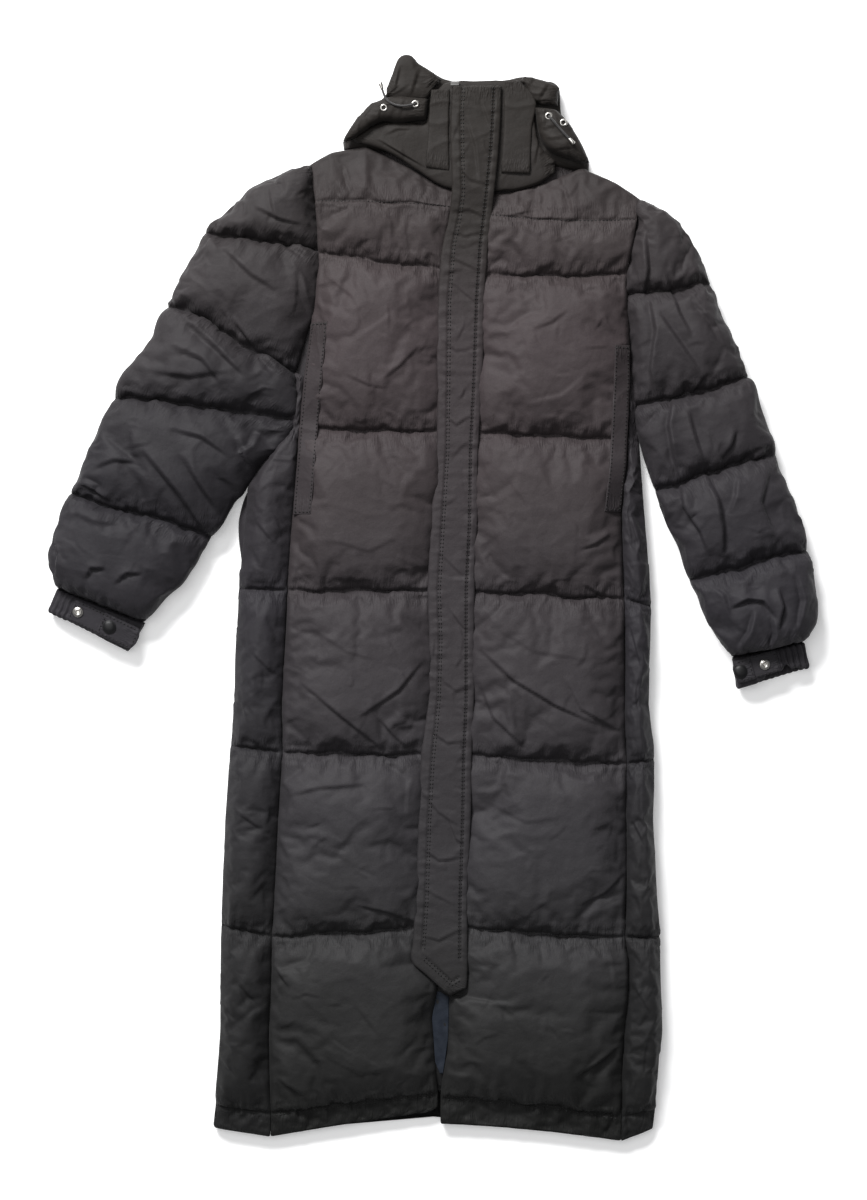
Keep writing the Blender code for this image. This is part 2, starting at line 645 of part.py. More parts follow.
tube("sleeve_right", sleeve_sections(SLEEVE_R), SLEEVE_WALL, SLIT)
tube("sleeve_left", sleeve_sections(SLEEVE_L), SLEEVE_WALL, SLIT)
for side, (seam_ends, mouth_ends) in CUFFS.items():
    tube(
        f"cuff_{side}",
        [(*seam_ends, CUFF_HEIGHT), (*mouth_ends, CUFF_HEIGHT)],
        CUFF_WALL,
        SLIT,
    )

# Cuff tabs and their snaps
TAB_BASE = CUFF_HEIGHT + GAP
TAPER = 0.8


def disc(name, at, size, base, material):
    """A low round stud with a rounded top edge."""
    radius, height = size
    mesh = bmesh.new()
    bmesh.ops.create_cone(
        mesh, cap_ends=True, segments=16, radius1=radius, radius2=TAPER * radius, depth=height
    )
    bmesh.ops.translate(mesh, verts=mesh.verts[:], vec=(*at, base + height / 2.0))
    return add(name, mesh, material)


for side, (head, foot, socket_at, cap_at) in TABS.items():
    start, end = Vector(head), Vector(foot)
    run = (end - start).normalized()
    over = Vector((-run.y, run.x)) * TAB_WIDTH / 2.0
    nose = [
        end - run * TAB_WIDTH / 2.0 + run * TAB_WIDTH / 2.0 * math.cos(turn) + over * math.sin(turn)
        for turn in (math.pi * (0.5 - k / 6.0) for k in range(7))
    ]
    outline = [start + over, *nose, start - over]
    slab(f"cuff_tab_{side}", outline, (TAB_BASE, TAB_BASE + TAB_THICKNESS), 0.0006)
    on_tab = TAB_BASE + TAB_THICKNESS + GAP
    disc(f"snap_socket_{side}", socket_at, SOCKET, on_tab, METAL)
    disc(f"snap_cap_{side}", cap_at, CAP, on_tab, PLASTIC)

# Collar and hood
slab("hood", HOOD, HOOD_LEVELS, 0.006)
slab("hood_peak_right", PEAK_R, PEAK_LEVELS, 0.004)
slab("hood_peak_left", PEAK_L, PEAK_LEVELS, 0.004)
slab("hood_brim_right", BRIM_R, BRIM_LEVELS, 0.005)
slab("hood_brim_left", BRIM_L, BRIM_LEVELS, 0.005)
collar_foot = [(x, y + COLLAR_GAP) for x, y in NECKLINE if COLLAR_TOP[0][0] + 0.005 < x < COLLAR_TOP[-1][0]]
slab("collar", [*COLLAR_TOP, *reversed(collar_foot)], COLLAR_LEVELS, 0.004)
slab("collar_front_right", COLLAR_TAB_R, COLLAR_TAB_LEVELS, 0.002)
slab("collar_front_left", COLLAR_TAB_L, COLLAR_TAB_LEVELS, 0.002)

# Eyelets, drawcords and their ends
for name, (x, y) in EYELETS.items():
    bpy.ops.mesh.primitive_torus_add(
        major_radius=EYELET_RADIUS,
        minor_radius=EYELET_WIRE,
        major_segments=12,
        minor_segments=5,
        location=(x, y, BRIM_LEVELS[1] + GAP + EYELET_WIRE),
    )
    eyelet = bpy.context.object
    eyelet.name = name
    eyelet.data.materials.append(METAL)
    eyelet.parent = root
    for owner in list(eyelet.users_collection):
        owner.objects.unlink(eyelet)
    coat.objects.link(eyelet)


for side, route in CORDS.items():
    curve = bpy.data.curves.new(f"drawcord_{side}", "CURVE")
    curve.dimensions = "3D"
    curve.bevel_depth = CORD_DIAMETER / 2.0
    curve.bevel_resolution = 2
    curve.use_fill_caps = True
    points = [Vector(point) for point in route]
    spline = curve.splines.new("POLY")
    spline.points.add(len(points) - 1)
    for target, point in zip(spline.points, points):
        target.co = (*point, 1.0)
    curve.materials.append(CORDAGE)
    cord = bpy.data.objects.new(f"drawcord_{side}", curve)
    cord.parent = root
    coat.objects.link(cord)
    run = (points[-1] - points[-2]).normalized()
    mesh = bmesh.new()
    radius, length = CORD_END
    bmesh.ops.create_cone(
        mesh, cap_ends=True, segments=12, radius1=TAPER * radius, radius2=radius, depth=length
    )
    turn = Vector((0.0, 0.0, 1.0)).rotation_difference(run).to_matrix()
    bmesh.ops.rotate(mesh, verts=mesh.verts[:], cent=(0.0, 0.0, 0.0), matrix=turn)
    bmesh.ops.translate(mesh, verts=mesh.verts[:], vec=points[-1] + run * (length / 2.0 + GAP))
    add(f"cord_end_{side}", mesh, METAL)

# The top of the zip's tape, beside the flap
ZIP_END = ((0.0236, 0.5916), (0.0236, 0.5965), (0.0335, 0.5965), (0.0335, 0.5916))
slab("zip_top", ZIP_END, (0.0343, 0.0363), 0.0005, METAL)
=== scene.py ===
"""The long puffer coat, laid flat on its back: padded cloth, stitches and fastenings round the model."""

import math
from contextlib import contextmanager

import bmesh
import bpy
import numpy as np
from mathutils import Matrix, Vector, noise
from mathutils.bvhtree import BVHTree


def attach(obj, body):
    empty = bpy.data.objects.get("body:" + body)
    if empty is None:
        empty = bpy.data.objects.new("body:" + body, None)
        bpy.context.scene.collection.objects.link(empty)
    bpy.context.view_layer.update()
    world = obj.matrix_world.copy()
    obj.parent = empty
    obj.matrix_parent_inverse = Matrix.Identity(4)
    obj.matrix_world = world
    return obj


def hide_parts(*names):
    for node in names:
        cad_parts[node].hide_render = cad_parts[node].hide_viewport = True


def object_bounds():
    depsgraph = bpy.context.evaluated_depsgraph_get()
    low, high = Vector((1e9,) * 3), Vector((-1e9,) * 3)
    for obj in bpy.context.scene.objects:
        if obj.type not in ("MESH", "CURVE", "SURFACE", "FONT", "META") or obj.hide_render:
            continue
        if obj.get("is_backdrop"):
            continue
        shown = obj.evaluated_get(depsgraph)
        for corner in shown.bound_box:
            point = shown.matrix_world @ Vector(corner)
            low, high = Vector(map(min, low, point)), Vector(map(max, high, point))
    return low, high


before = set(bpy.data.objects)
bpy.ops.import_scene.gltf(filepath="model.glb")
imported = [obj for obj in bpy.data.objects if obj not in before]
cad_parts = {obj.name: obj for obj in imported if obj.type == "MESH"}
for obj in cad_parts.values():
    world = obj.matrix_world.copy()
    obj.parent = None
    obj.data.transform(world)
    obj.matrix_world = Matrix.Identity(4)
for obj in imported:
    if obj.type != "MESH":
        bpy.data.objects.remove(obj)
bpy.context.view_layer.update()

# Camera, floor and light.
# The coat is seen from straight above, on a white table in a bright, even room with a window beyond
# the hood, so that each padded cell is a little lighter on its upper slope.
VIEW_HEIGHT = 1.380
CAMERA_HEIGHT = 3.6
COAT_HEIGHT = 0.035
VIEW_CENTRE = (0.004, 0.0)
SENSOR = 36.0

scene = bpy.context.scene
scene.view_settings.view_transform = "Standard"
scene.view_settings.look = "None"
lens = bpy.data.cameras.new("camera")
lens.sensor_width = SENSOR
lens.lens = SENSOR * (CAMERA_HEIGHT - COAT_HEIGHT) / VIEW_HEIGHT
lens.clip_end = 30.0
camera = bpy.data.objects.new("camera", lens)
camera.location = (*VIEW_CENTRE, CAMERA_HEIGHT)
scene.collection.objects.link(camera)
scene.camera = camera

FLOOR_SIZE = 60.0
FLOOR_LEVEL = -0.0005
FLOOR_PAINT = {
    "Base Color": (0.88, 0.88, 0.88, 1.0),
    "Roughness": 0.9,
    "Emission Color": (1.0, 1.0, 1.0, 1.0),
    "Emission Strength": 0.25,
}


def data_of(mesh, name):
    """Turns a bmesh into mesh data."""
    data = bpy.data.meshes.new(name)
    mesh.to_mesh(data)
    mesh.free()
    return data


def linked(name, data):
    piece = bpy.data.objects.new(name, data)
    scene.collection.objects.link(piece)
    return piece


ground = bmesh.new()
bmesh.ops.create_grid(ground, x_segments=1, y_segments=1, size=FLOOR_SIZE / 2.0)
bmesh.ops.translate(ground, verts=ground.verts[:], vec=(0.0, 0.0, FLOOR_LEVEL))
floor = linked("floor", data_of(ground, "floor"))
floor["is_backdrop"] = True
paint = bpy.data.materials.new("floor")
paint.use_nodes = True
for socket, value in FLOOR_PAINT.items():
    paint.node_tree.nodes["Principled BSDF"].inputs[socket].default_value = value
floor.data.materials.append(paint)

ROOM_LIGHT = 0.245
room = bpy.data.worlds.new("room")
room.use_nodes = True
room.node_tree.nodes["Background"].inputs["Color"].default_value = (0.97, 0.98, 1.0, 1.0)
room.node_tree.nodes["Background"].inputs["Strength"].default_value = ROOM_LIGHT
scene.world = room
LAMPS = {
    "window": {"at": (-1.1, 2.5, 2.2), "size": (1.5, 0.8), "watts": 206.0},
    "ceiling": {"at": (-0.7, 0.5, 3.4), "size": (2.4, 2.4), "watts": 46.0},
}
for name, lamp in LAMPS.items():
    light = bpy.data.lights.new(name, "AREA")
    light.shape = "RECTANGLE"
    light.size, light.size_y = lamp["size"]
    light.energy = lamp["watts"]
    holder = bpy.data.objects.new(name, light)
    holder.location = lamp["at"]
    holder.rotation_euler = Vector(lamp["at"]).to_track_quat("Z", "Y").to_euler()
    scene.collection.objects.link(holder)


# Shell cloth.
# The outside is one matt, tightly woven nylon with a faint sheen. Its colour is set by height up the coat:
# brown black and lightest over the chest, cooler and darker towards the hem and the neck, with tones of its
# own on the sleeves and side panels.
class Signal:
    """A shader socket on which Python arithmetic adds Math nodes."""

    def __init__(self, material, socket):
        self.material = material
        self.socket = socket

    def joined(self, operation, *values):
        made = self.material.node("ShaderNodeMath", {"operation": operation}, dict(enumerate(values)))
        return made[0]

    def __add__(self, other):
        return self.joined("ADD", self, other)

    __radd__ = __add__

    def __mul__(self, other):
        return self.joined("MULTIPLY", self, other)

    __rmul__ = __mul__

    def __sub__(self, other):
        return self.joined("SUBTRACT", self, other)

    def __rsub__(self, other):
        return self.joined("SUBTRACT", other, self)

    def size(self):
        return self.joined("ABSOLUTE", self)

    def clipped(self, low, high):
        """0 below low, 1 above high, and smooth between them."""
        wanted = {"Value": self, "From Min": low, "From Max": high}
        return self.material.node("ShaderNodeMapRange", {"interpolation_type": "SMOOTHSTEP"}, wanted)[0]


class Finish:
    """A material under construction, round one Principled shader."""

    def __init__(self, name, **constants):
        self.material = bpy.data.materials.new(name)
        self.material.use_nodes = True
        self.tree = self.material.node_tree
        self.shader = self.tree.nodes["Principled BSDF"]
        for socket, value in constants.items():
            self.shader.inputs[socket.replace("_", " ")].default_value = value

    def node(self, kind, settings=None, inputs=None):
        """Adds a node: its settings first, then the values or links of its sockets. Returns its outputs."""
        made = self.tree.nodes.new(kind)
        for key, value in (settings or {}).items():
            if key == "stops":
                ramp = made.color_ramp
                ramp.elements.remove(ramp.elements[1])
                ramp.elements[0].position = value[0][0]
                ramp.elements[0].color = (*value[0][1], 1.0)
                for position, colour in value[1:]:
                    ramp.elements.new(position).color = (*colour, 1.0)
            else:
                setattr(made, key, value)
        for key, value in (inputs or {}).items():
            self.give(made.inputs[key], value)
        return [Signal(self, output) for output in made.outputs]

    def give(self, socket, value):
        if isinstance(value, Signal):
            self.tree.links.new(value.socket, socket)
        else:
            socket.default_value = value

    def feed(self, socket, value):
        self.give(self.shader.inputs[socket], value)

    def place(self):
        return self.node("ShaderNodeTexCoord")[3]

    def grain(self, size, detail=2.0, roughness=0.5, stretch=None):
        """Noise from 0 to 1 with features of the given size in metres, drawn out along an axis by stretch."""
        at = self.place()
        if stretch:
            scale = tuple(1.0 / share for share in stretch)
            at = self.node("ShaderNodeMapping", {}, {"Vector": at, "Scale": scale})[0]
        wanted = {"Vector": at, "Scale": 1.0 / size, "Detail": detail, "Roughness": roughness}
        return self.node("ShaderNodeTexNoise", {}, wanted)[0]

    def bands(self, direction, **wanted):
        """Wavy bands across a direction, from 0 to 1."""
        settings = {"wave_type": "BANDS", "bands_direction": direction}
        return self.node("ShaderNodeTexWave", settings, {"Vector": self.place(), **wanted})[1]

    def blend(self, share, a, b):
        """A mix of two colours."""
        return self.node("ShaderNodeMix", {"data_type": "RGBA"}, {0: share, 6: a, 7: b})[2]

    def attribute(self, name):
        return self.node("ShaderNodeAttribute", {"attribute_name": name})[2]

    def bumps(self, *layers):
        """Bump nodes in a chain, each a (height signal, depth in metres)."""
        normal = None
        for height, depth in layers:
            wanted = {"Height": height, "Distance": depth, "Strength": 1.0}
            if normal is not None:
                wanted["Normal"] = normal
            normal = self.node("ShaderNodeBump", {}, wanted)[0]
        self.feed("Normal", normal)


def colour(red, green, blue):
    return (red, green, blue, 1.0)


THREAD = 0.0011
COAT_HALF = 0.64
PATCH = 0.16
FLECK = 0.0045
# How far from a stitched line the gathers are full and where they end, and how often they come.
GATHERED = (0.001, 0.030)
GATHERS = (250.0, 55.0, 12.0)
FOLD_DEPTH = 0.0015
SMALL_FOLD_DEPTH = 0.0014
GATHER_BUMP = 0.0030
CRUMPLE_DEPTH = 0.0006
WEAVE_DEPTH = 0.00010


def shell_cloth(name, *tones):
    """The outer cloth. A tone is a height up the coat in centimetres, then red, green and blue in 1/10000."""
    cloth = Finish(name, Roughness=0.62, Sheen_Weight=0.02, Sheen_Roughness=0.45, Specular_IOR_Level=0.16)
    at = cloth.node("ShaderNodeSeparateXYZ", {}, {0: cloth.place()})
    patches = cloth.grain(PATCH, 3.0, 0.6)
    up = (at[1] + (patches - 0.5) * PATCH) * (0.5 / COAT_HALF) + 0.5
    stops = [(y / 100 * 0.5 / COAT_HALF + 0.5, [share / 1e4 for share in tone]) for y, *tone in tones]
    base = cloth.node("ShaderNodeValToRGB", {"stops": stops}, {0: up})[0]
    speckle = cloth.grain(THREAD, 2.0, 0.7)
    fleck = cloth.grain(FLECK, 2.0, 0.6)
    tone = (speckle - 0.5) * 0.55 + (fleck - 0.5) * 0.22 + 1.0
    shaded = cloth.node("ShaderNodeVectorMath", {"operation": "SCALE"}, {0: base, 3: tone})[0]
    cloth.feed("Base Color", shaded)
    cloth.feed("Roughness", 0.56 + cloth.grain(0.03, 2.0) * 0.14)
    warp, weft = (cloth.bands(way, Scale=0.32 / THREAD, Distortion=1.5, Detail=1.0) for way in "XY")
    weave = warp * 0.5 + weft * 0.5
    near = cloth.attribute("seam")
    combed = {0: cloth.attribute("run") * GATHERS[0], 1: near * GATHERS[1], 2: at[1] * GATHERS[2]}
    along = cloth.node("ShaderNodeCombineXYZ", {}, combed)[0]
    wanted = {"Vector": along, "Scale": 1.0, "Detail": 2.0, "Roughness": 0.6}
    pleats = (cloth.node("ShaderNodeTexNoise", {}, wanted)[0] - 0.5).size()
    fade = 1.0 - near.clipped(*GATHERED)
    folds = (cloth.grain(0.042, 2.0, 0.45, (1.0, 0.7, 1.0)) - 0.5).size()
    small = (cloth.grain(0.016, 2.0, 0.5, (0.8, 1.0, 1.0)) - 0.5).size()
    crumple = cloth.grain(0.010, 3.0, 0.55)
    cloth.bumps(
        (folds, FOLD_DEPTH),
        (small * (fade * 0.7 + 0.3), SMALL_FOLD_DEPTH),
        (pleats * fade, GATHER_BUMP),
        (crumple, CRUMPLE_DEPTH),
        (weave, WEAVE_DEPTH),
        (speckle, WEAVE_DEPTH),
    )
    return cloth.material


SHELL = shell_cloth(
    "shell_cloth",
    (-61, 75, 76, 72), (-45, 195, 192, 195), (-27, 275, 258, 285), (-5, 280, 245, 268),
    (13, 320, 262, 275), (30, 365, 285, 300), (43, 335, 272, 274), (48, 245, 200, 200),
    (53, 185, 155, 152),
)
SHELL_SIDE = shell_cloth(
    "shell_cloth_side",
    (-58, 95, 95, 96), (-35, 148, 143, 152), (0, 200, 184, 218), (20, 215, 190, 212), (45, 250, 212, 220),
)
SHELL_SLEEVE = shell_cloth(
    "shell_cloth_sleeve",
    (-5, 185, 170, 200), (4, 172, 158, 186), (14, 148, 136, 160), (24, 165, 149, 168),
    (36, 248, 215, 227), (46, 205, 177, 182),
)
SHELL_NECK = shell_cloth(
    "shell_cloth_neck",
    (-46, 170, 163, 163), (-30, 240, 222, 242), (5, 275, 235, 255), (28, 275, 222, 235),
    (44, 155, 130, 119), (58, 136, 114, 98),
)


# Fronts.
# Each front is two layers of shell cloth with down between them, quilted across into big cells
# that swell between the stitched lines; the side-front seam and the zip hold its long edges.
STEP = 0.0038
STITCHED_TOP = 0.0250
UNDER_FLAP = 0.0275
BACK_TOP = 0.0183
ON_LINE = 1e-6
EDGE_INSET = 0.0004
CELL_POWER = 5.4


class Outline:
    """The edges of a CAD node's shape as seen from above."""

    def __init__(self, node):
        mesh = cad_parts[node].data
        points = np.empty(len(mesh.vertices) * 3)
        mesh.vertices.foreach_get("co", points)
        ends = np.empty(len(mesh.edges) * 2, dtype=int)
        mesh.edges.foreach_get("vertices", ends)
        points = points.reshape(-1, 3)[:, :2]
        self.start, self.end = points[ends.reshape(-1, 2).T]
        self.low, self.high = points.min(axis=0), points.max(axis=0)

    def reach(self, at, direction):
        """How far the shape lies each way from a point, along a direction."""
        away = np.array([-direction[1], direction[0]])
        first, last = (self.start - at) @ away, (self.end - at) @ away
        crossing = (first * last <= 0.0) & (np.abs(first - last) > 1e-12)
        share = (first / (first - last + 1e-30))[crossing, None]
        points = self.start[crossing] * (1.0 - share) + self.end[crossing] * share
        runs = (points - at) @ np.array(direction)
        return float(runs.min()), float(runs.max())

    def sides(self, y):
        """The lowest and highest x at a y."""
        inside = min(max(y, self.low[1] + EDGE_INSET), self.high[1] - EDGE_INSET)
        return self.reach(np.array([0.0, inside]), (1.0, 0.0))

    def ends(self, x):
        """The lowest and highest y at an x."""
        inside = min(max(x, self.low[0] + EDGE_INSET), self.high[0] - EDGE_INSET)
        return self.reach(np.array([inside, 0.0]), (0.0, 1.0))


def metres(table):
    """A table of tenths of a millimetre, or a dictionary of them, in metres."""
    if isinstance(table, dict):
        return {key: metres(rows) for key, rows in table.items()}
    return (np.array(table) / 1e4).tolist()


def creases(table):
    """Folds as (path, depth, width), from rows of depth, width and then the path's x, y, x, y and so on.

    Depth and width are in tenths of a millimetre, and the path is in millimetres.
    """
    if isinstance(table, dict):
        return {key: creases(rows) for key, rows in table.items()}
    return [(np.array(row[2:]).reshape(-1, 2) / 1e3, row[0] / 1e4, row[1] / 1e4) for row in table]


def mix(a, b, share):
    return a + (b - a) * share


def swell(t, power):
    """The rise of a padded cell: 0 at its stitched ends and 1 over most of its middle."""
    return math.sqrt(max(0.0, 1.0 - abs(2.0 * min(max(t, 0.0), 1.0) - 1.0) ** power))


def drift(x, y, size, seed=0.0):
    """Smooth noise from -1 to 1 with features of the given size."""
    return noise.noise(Vector((x / size, y / size, seed)))


def drifts(points, size, seed=0.0):
    """The same for many points, in three dimensions."""
    scaled = (points / size).tolist()
    return np.array([noise.noise(Vector((x + seed, y, z))) for x, y, z in scaled])


def positions(mesh):
    found = np.empty(len(mesh.vertices) * 3)
    mesh.vertices.foreach_get("co", found)
    return found.reshape(-1, 3)


def placed(mesh, points):
    mesh.vertices.foreach_set("co", np.asarray(points).ravel())
    mesh.update()


def normals_of(mesh):
    found = np.empty(len(mesh.vertices) * 3)
    mesh.vertices.foreach_get("normal", found)
    return found.reshape(-1, 3)


def measure(mesh, name):
    """A named number of each vertex."""
    found = np.empty(len(mesh.vertices))
    mesh.attributes[name].data.foreach_get("value", found)
    return found


def grid_piece(name, columns, rows, place):
    """A grid of cloth.

    place(column, row) gives a point, whether it is held, and its distance to a stitched line.
    """
    mesh = bmesh.new()
    bmesh.ops.create_grid(mesh, x_segments=columns - 1, y_segments=rows - 1, size=1.0)
    seam = mesh.verts.layers.float.new("seam")
    run = mesh.verts.layers.float.new("run")
    held = []
    for vert in mesh.verts:
        column = round((vert.co.x + 1.0) / 2.0 * (columns - 1))
        row = round((vert.co.y + 1.0) / 2.0 * (rows - 1))
        point, is_held, vert[seam] = place(column, row)
        vert.co = point
        vert[run] = point.x
        if is_held:
            held.append(vert.index)
    bmesh.ops.recalc_face_normals(mesh, faces=mesh.faces[:])
    if sum(face.normal.z * face.calc_area() for face in mesh.faces) < 0.0:
        bmesh.ops.reverse_faces(mesh, faces=mesh.faces[:])
    piece = linked(name, data_of(mesh, name))
    piece.vertex_groups.new(name="held").add(held, 1.0, "REPLACE")
    return piece


PRESSURE = 1.6
GROWTH = 0.035
STRETCH_STIFFNESS = 14.0
BENDING_STIFFNESS = 0.4
MOST_SHIFT = 0.009
FRAMES = 20
CLOTH_SETTINGS = {
    "quality": 4,
    "mass": 0.12,
    "air_damping": 4.0,
    "tension_stiffness": STRETCH_STIFFNESS,
    "compression_stiffness": STRETCH_STIFFNESS,
    "shear_stiffness": 6.0,
    "bending_stiffness": BENDING_STIFFNESS,
    "shrink_min": -GROWTH,
    "vertex_group_mass": "held",
    "use_pressure": True,
    "uniform_pressure_force": PRESSURE,
}


def settle(*pieces):
    """Blows the pieces up a little and lets the extra cloth buckle, with the held points still."""
    before = {}
    for piece in pieces:
        before[piece.name] = positions(piece.data)
        cloth = piece.modifiers.new("cloth", "CLOTH")
        for setting, value in CLOTH_SETTINGS.items():
            setattr(cloth.settings, setting, value)
        cloth.settings.effector_weights.gravity = 0.0
        cloth.collision_settings.use_collision = False
        cloth.point_cache.frame_start = 1
        cloth.point_cache.frame_end = FRAMES
    for step in range(1, FRAMES + 1):
        scene.frame_set(step)
    graph = bpy.context.evaluated_depsgraph_get()
    for piece in pieces:
        start = before[piece.name]
        shift = positions(piece.evaluated_get(graph).data) - start
        length = np.linalg.norm(shift, axis=1, keepdims=True)
        moved = start + shift * np.minimum(1.0, MOST_SHIFT / np.maximum(length, 1e-9))
        moved[:, 2] = np.maximum(moved[:, 2], np.minimum(start[:, 2], 0.0006))
        piece.modifiers.clear()
        placed(piece.data, moved)
    scene.frame_set(1)


def smoothed(piece):
    """Subdivides a piece for good, keeping its stitched lines sharp."""
    seam = measure(piece.data, "seam")
    sharp = piece.data.attributes.new("crease_edge", "FLOAT", "EDGE")
    ends = np.empty(len(piece.data.edges) * 2, dtype=int)
    piece.data.edges.foreach_get("vertices", ends)
    on_line = (seam[ends.reshape(-1, 2)] < ON_LINE).all(axis=1)
    sharp.data.foreach_set("value", on_line * 0.7)
    finer = piece.modifiers.new("finer", "SUBSURF")
    finer.levels = finer.render_levels = 1
    finer.use_limit_surface = False
    graph = bpy.context.evaluated_depsgraph_get()
    data = bpy.data.meshes.new_from_object(piece.evaluated_get(graph))
    piece.modifiers.clear()
    piece.data = data


def gone_along(line):
    """How far along a line each of its points is."""
    return np.concatenate([[0.0], np.cumsum(np.linalg.norm(np.diff(line, axis=0), axis=1))])


def beside(points, path):
    """For each point: how far a line of (x, y) points is, on which side, and the share of the line there."""
    path = np.array(path)
    lengths = np.linalg.norm(np.diff(path, axis=0), axis=1)
    gone = gone_along(path)
    nearest = np.full(len(points), 9.0)
    side = np.zeros(len(points))
    share = np.zeros(len(points))
    for start, end, length, before in zip(path, path[1:], lengths, gone):
        along = (end - start) / length
        offset = points[:, :2] - start
        t = np.clip(offset @ along, 0.0, length)
        away = np.linalg.norm(offset - t[:, None] * along, axis=1)
        closer = away < nearest
        nearest[closer] = away[closer]
        side[closer] = np.sign(offset @ np.array([-along[1], along[0]]))[closer]
        share[closer] = ((before + t) / gone[-1])[closer]
    return nearest, side, share


def crease_push(points, path, depth, width):
    """A crease's push at each point: a soft ridge left of its line drops sharply to a trough right of it."""
    away, side, share = beside(points, path)
    fade = np.sin(np.pi * share) ** 0.7
    across = away * side / width
    lip = 0.5 + 0.5 * np.tanh(across / 0.35)
    ridge = lip * np.exp(-np.maximum(across, 0.0) / 1.9)
    trough = (1.0 - lip) * np.exp(-np.maximum(-across, 0.0) / 1.2)
    return depth * fade * (ridge - 0.85 * trough)


def groove_push(points, path, depth, width):
    """A stitched groove along a line, as deep at its ends."""
    away = beside(points, path)[0]
    return -depth * np.exp(-((away / width) ** 2))


def point_on(line, gone, at):
    """The point at a distance along a line of (x, y) points."""
    return np.array([np.interp(at, gone, line[:, 0]), np.interp(at, gone, line[:, 1])])


GATHER_SPACING = 0.013
GATHER_DEPTH = 0.0015


def gathers_push(points, lines, seed):
    """Short sharp folds that fan out of stitched lines on both sides, all uneven."""
    push = np.zeros(len(points))
    dice = np.random.default_rng(seed)
    for line in lines:
        line = np.array(line)
        gone = gone_along(line)
        for side in (-1.0, 1.0):
            at = GATHER_SPACING * dice.uniform(0.3, 1.0)
            while at < gone[-1] - 0.3 * GATHER_SPACING:
                start, ahead = point_on(line, gone, at), point_on(line, gone, at + 0.002)
                run = (ahead - start) / np.linalg.norm(ahead - start)
                lean = dice.normal(0.0, 0.42)
                away = side * np.array([-run[1], run[0]]) * math.cos(lean) + run * math.sin(lean)
                length = dice.uniform(0.010, 0.024) if dice.random() < 0.7 else dice.uniform(0.026, 0.048)
                deep = GATHER_DEPTH * dice.uniform(0.45, 1.25)
                wide = dice.uniform(0.0017, 0.0030) * (0.7 + length / 0.04)
                offset = points[:, :2] - start
                near = np.flatnonzero((np.abs(offset) < length + 0.012).all(axis=1))
                along = offset[near] @ away
                curve = dice.normal(0.0, 1.0) * along**2 * 6.0
                across = (offset[near] @ np.array([-away[1], away[0]]) - curve) / wide
                share = along / length
                fade = np.clip(share / 0.10, 0.0, 1.0) * np.clip(1.0 - share, 0.0, 1.0) ** 1.2
                ridge = 0.8 * np.exp(-(((across - 1.8) / 1.1) ** 2))
                ridge += 0.5 * np.exp(-(((across + 1.9) / 1.2) ** 2))
                push[near] += deep * fade * (ridge - np.exp(-(across**2)))
                at += GATHER_SPACING * dice.uniform(0.45, 1.9)
    return push


WEAR_DEPTH = 0.0009


def worn_push(points, count, seed):
    """Short straight creases that wear leaves all over the cloth, at random places and slants."""
    push = np.zeros(len(points))
    dice = np.random.default_rng(seed)
    for centre in points[dice.integers(0, len(points), count), :2]:
        turn = dice.uniform(0.0, math.pi)
        half = dice.uniform(0.006, 0.020) * np.array([math.cos(turn), math.sin(turn)])
        bow = dice.normal(0.0, 0.18) * np.array([-half[1], half[0]])
        near = np.flatnonzero((np.abs(points[:, :2] - centre) < 0.040).all(axis=1))
        path = (centre - half, centre + bow, centre + half)
        depth, width = WEAR_DEPTH * dice.uniform(0.4, 1.5), dice.uniform(0.0018, 0.0038)
        push[near] += crease_push(points[near], path, depth, width)
    return push


PUCKER_REACH = 0.012


def wrinkled(piece, folds=(), lines=(), pucker=0.0, dent=0.0009, rumple=0.0004, worn=0, seed=0, facing=-0.2):
    """Adds what the stitches and wear put in the cloth: puckers, dents, crumples, and the folds listed."""
    mesh = piece.data
    points, normals = positions(mesh), normals_of(mesh)
    upper = np.clip((normals[:, 2] - facing) / 0.5, 0.0, 1.0)
    seam, run = measure(mesh, "seam"), measure(mesh, "run")
    push = dent * 2.0 * drifts(points, 0.070, seed + 7.0)
    ridged = 1.0 - np.abs(drifts(points * np.array([1.0, 1.35, 1.0]), 0.045, seed + 3.0)) * 2.2
    push += rumple * np.clip(ridged, 0.0, 1.0) ** 3 * 1.6
    combed = np.stack([run / 0.0105, seam / 0.030, np.floor(points[:, 1] / 0.05)], axis=1)
    finer = np.stack([run / 0.0052, seam / 0.014, np.floor(points[:, 1] / 0.05)], axis=1)
    strength = 0.35 + 0.9 * np.clip(drifts(points, 0.055, seed + 11.0) + 0.45, 0.0, 1.0)
    push += pucker * 2.0 * strength * drifts(combed, 1.0, seed) * np.exp(-seam / PUCKER_REACH)
    push += pucker * 0.9 * strength * drifts(finer, 1.0, seed + 5.0) * np.exp(-seam / (0.45 * PUCKER_REACH))
    push *= np.clip(seam / 0.004, 0.15, 1.0)
    push += gathers_push(points, lines, int(10 * seed))
    push += worn_push(points, worn, int(10 * seed) + 1)
    for path, depth, width in folds:
        push += crease_push(points, path, depth, 0.62 * width)
    placed(mesh, points + normals * (push * upper)[:, None])


def finished(piece, material, slot, *nodes):
    piece.data.materials.clear()
    piece.data.materials.append(material)
    piece.data.shade_smooth()
    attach(piece, "root")
    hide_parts(*nodes)
    return piece


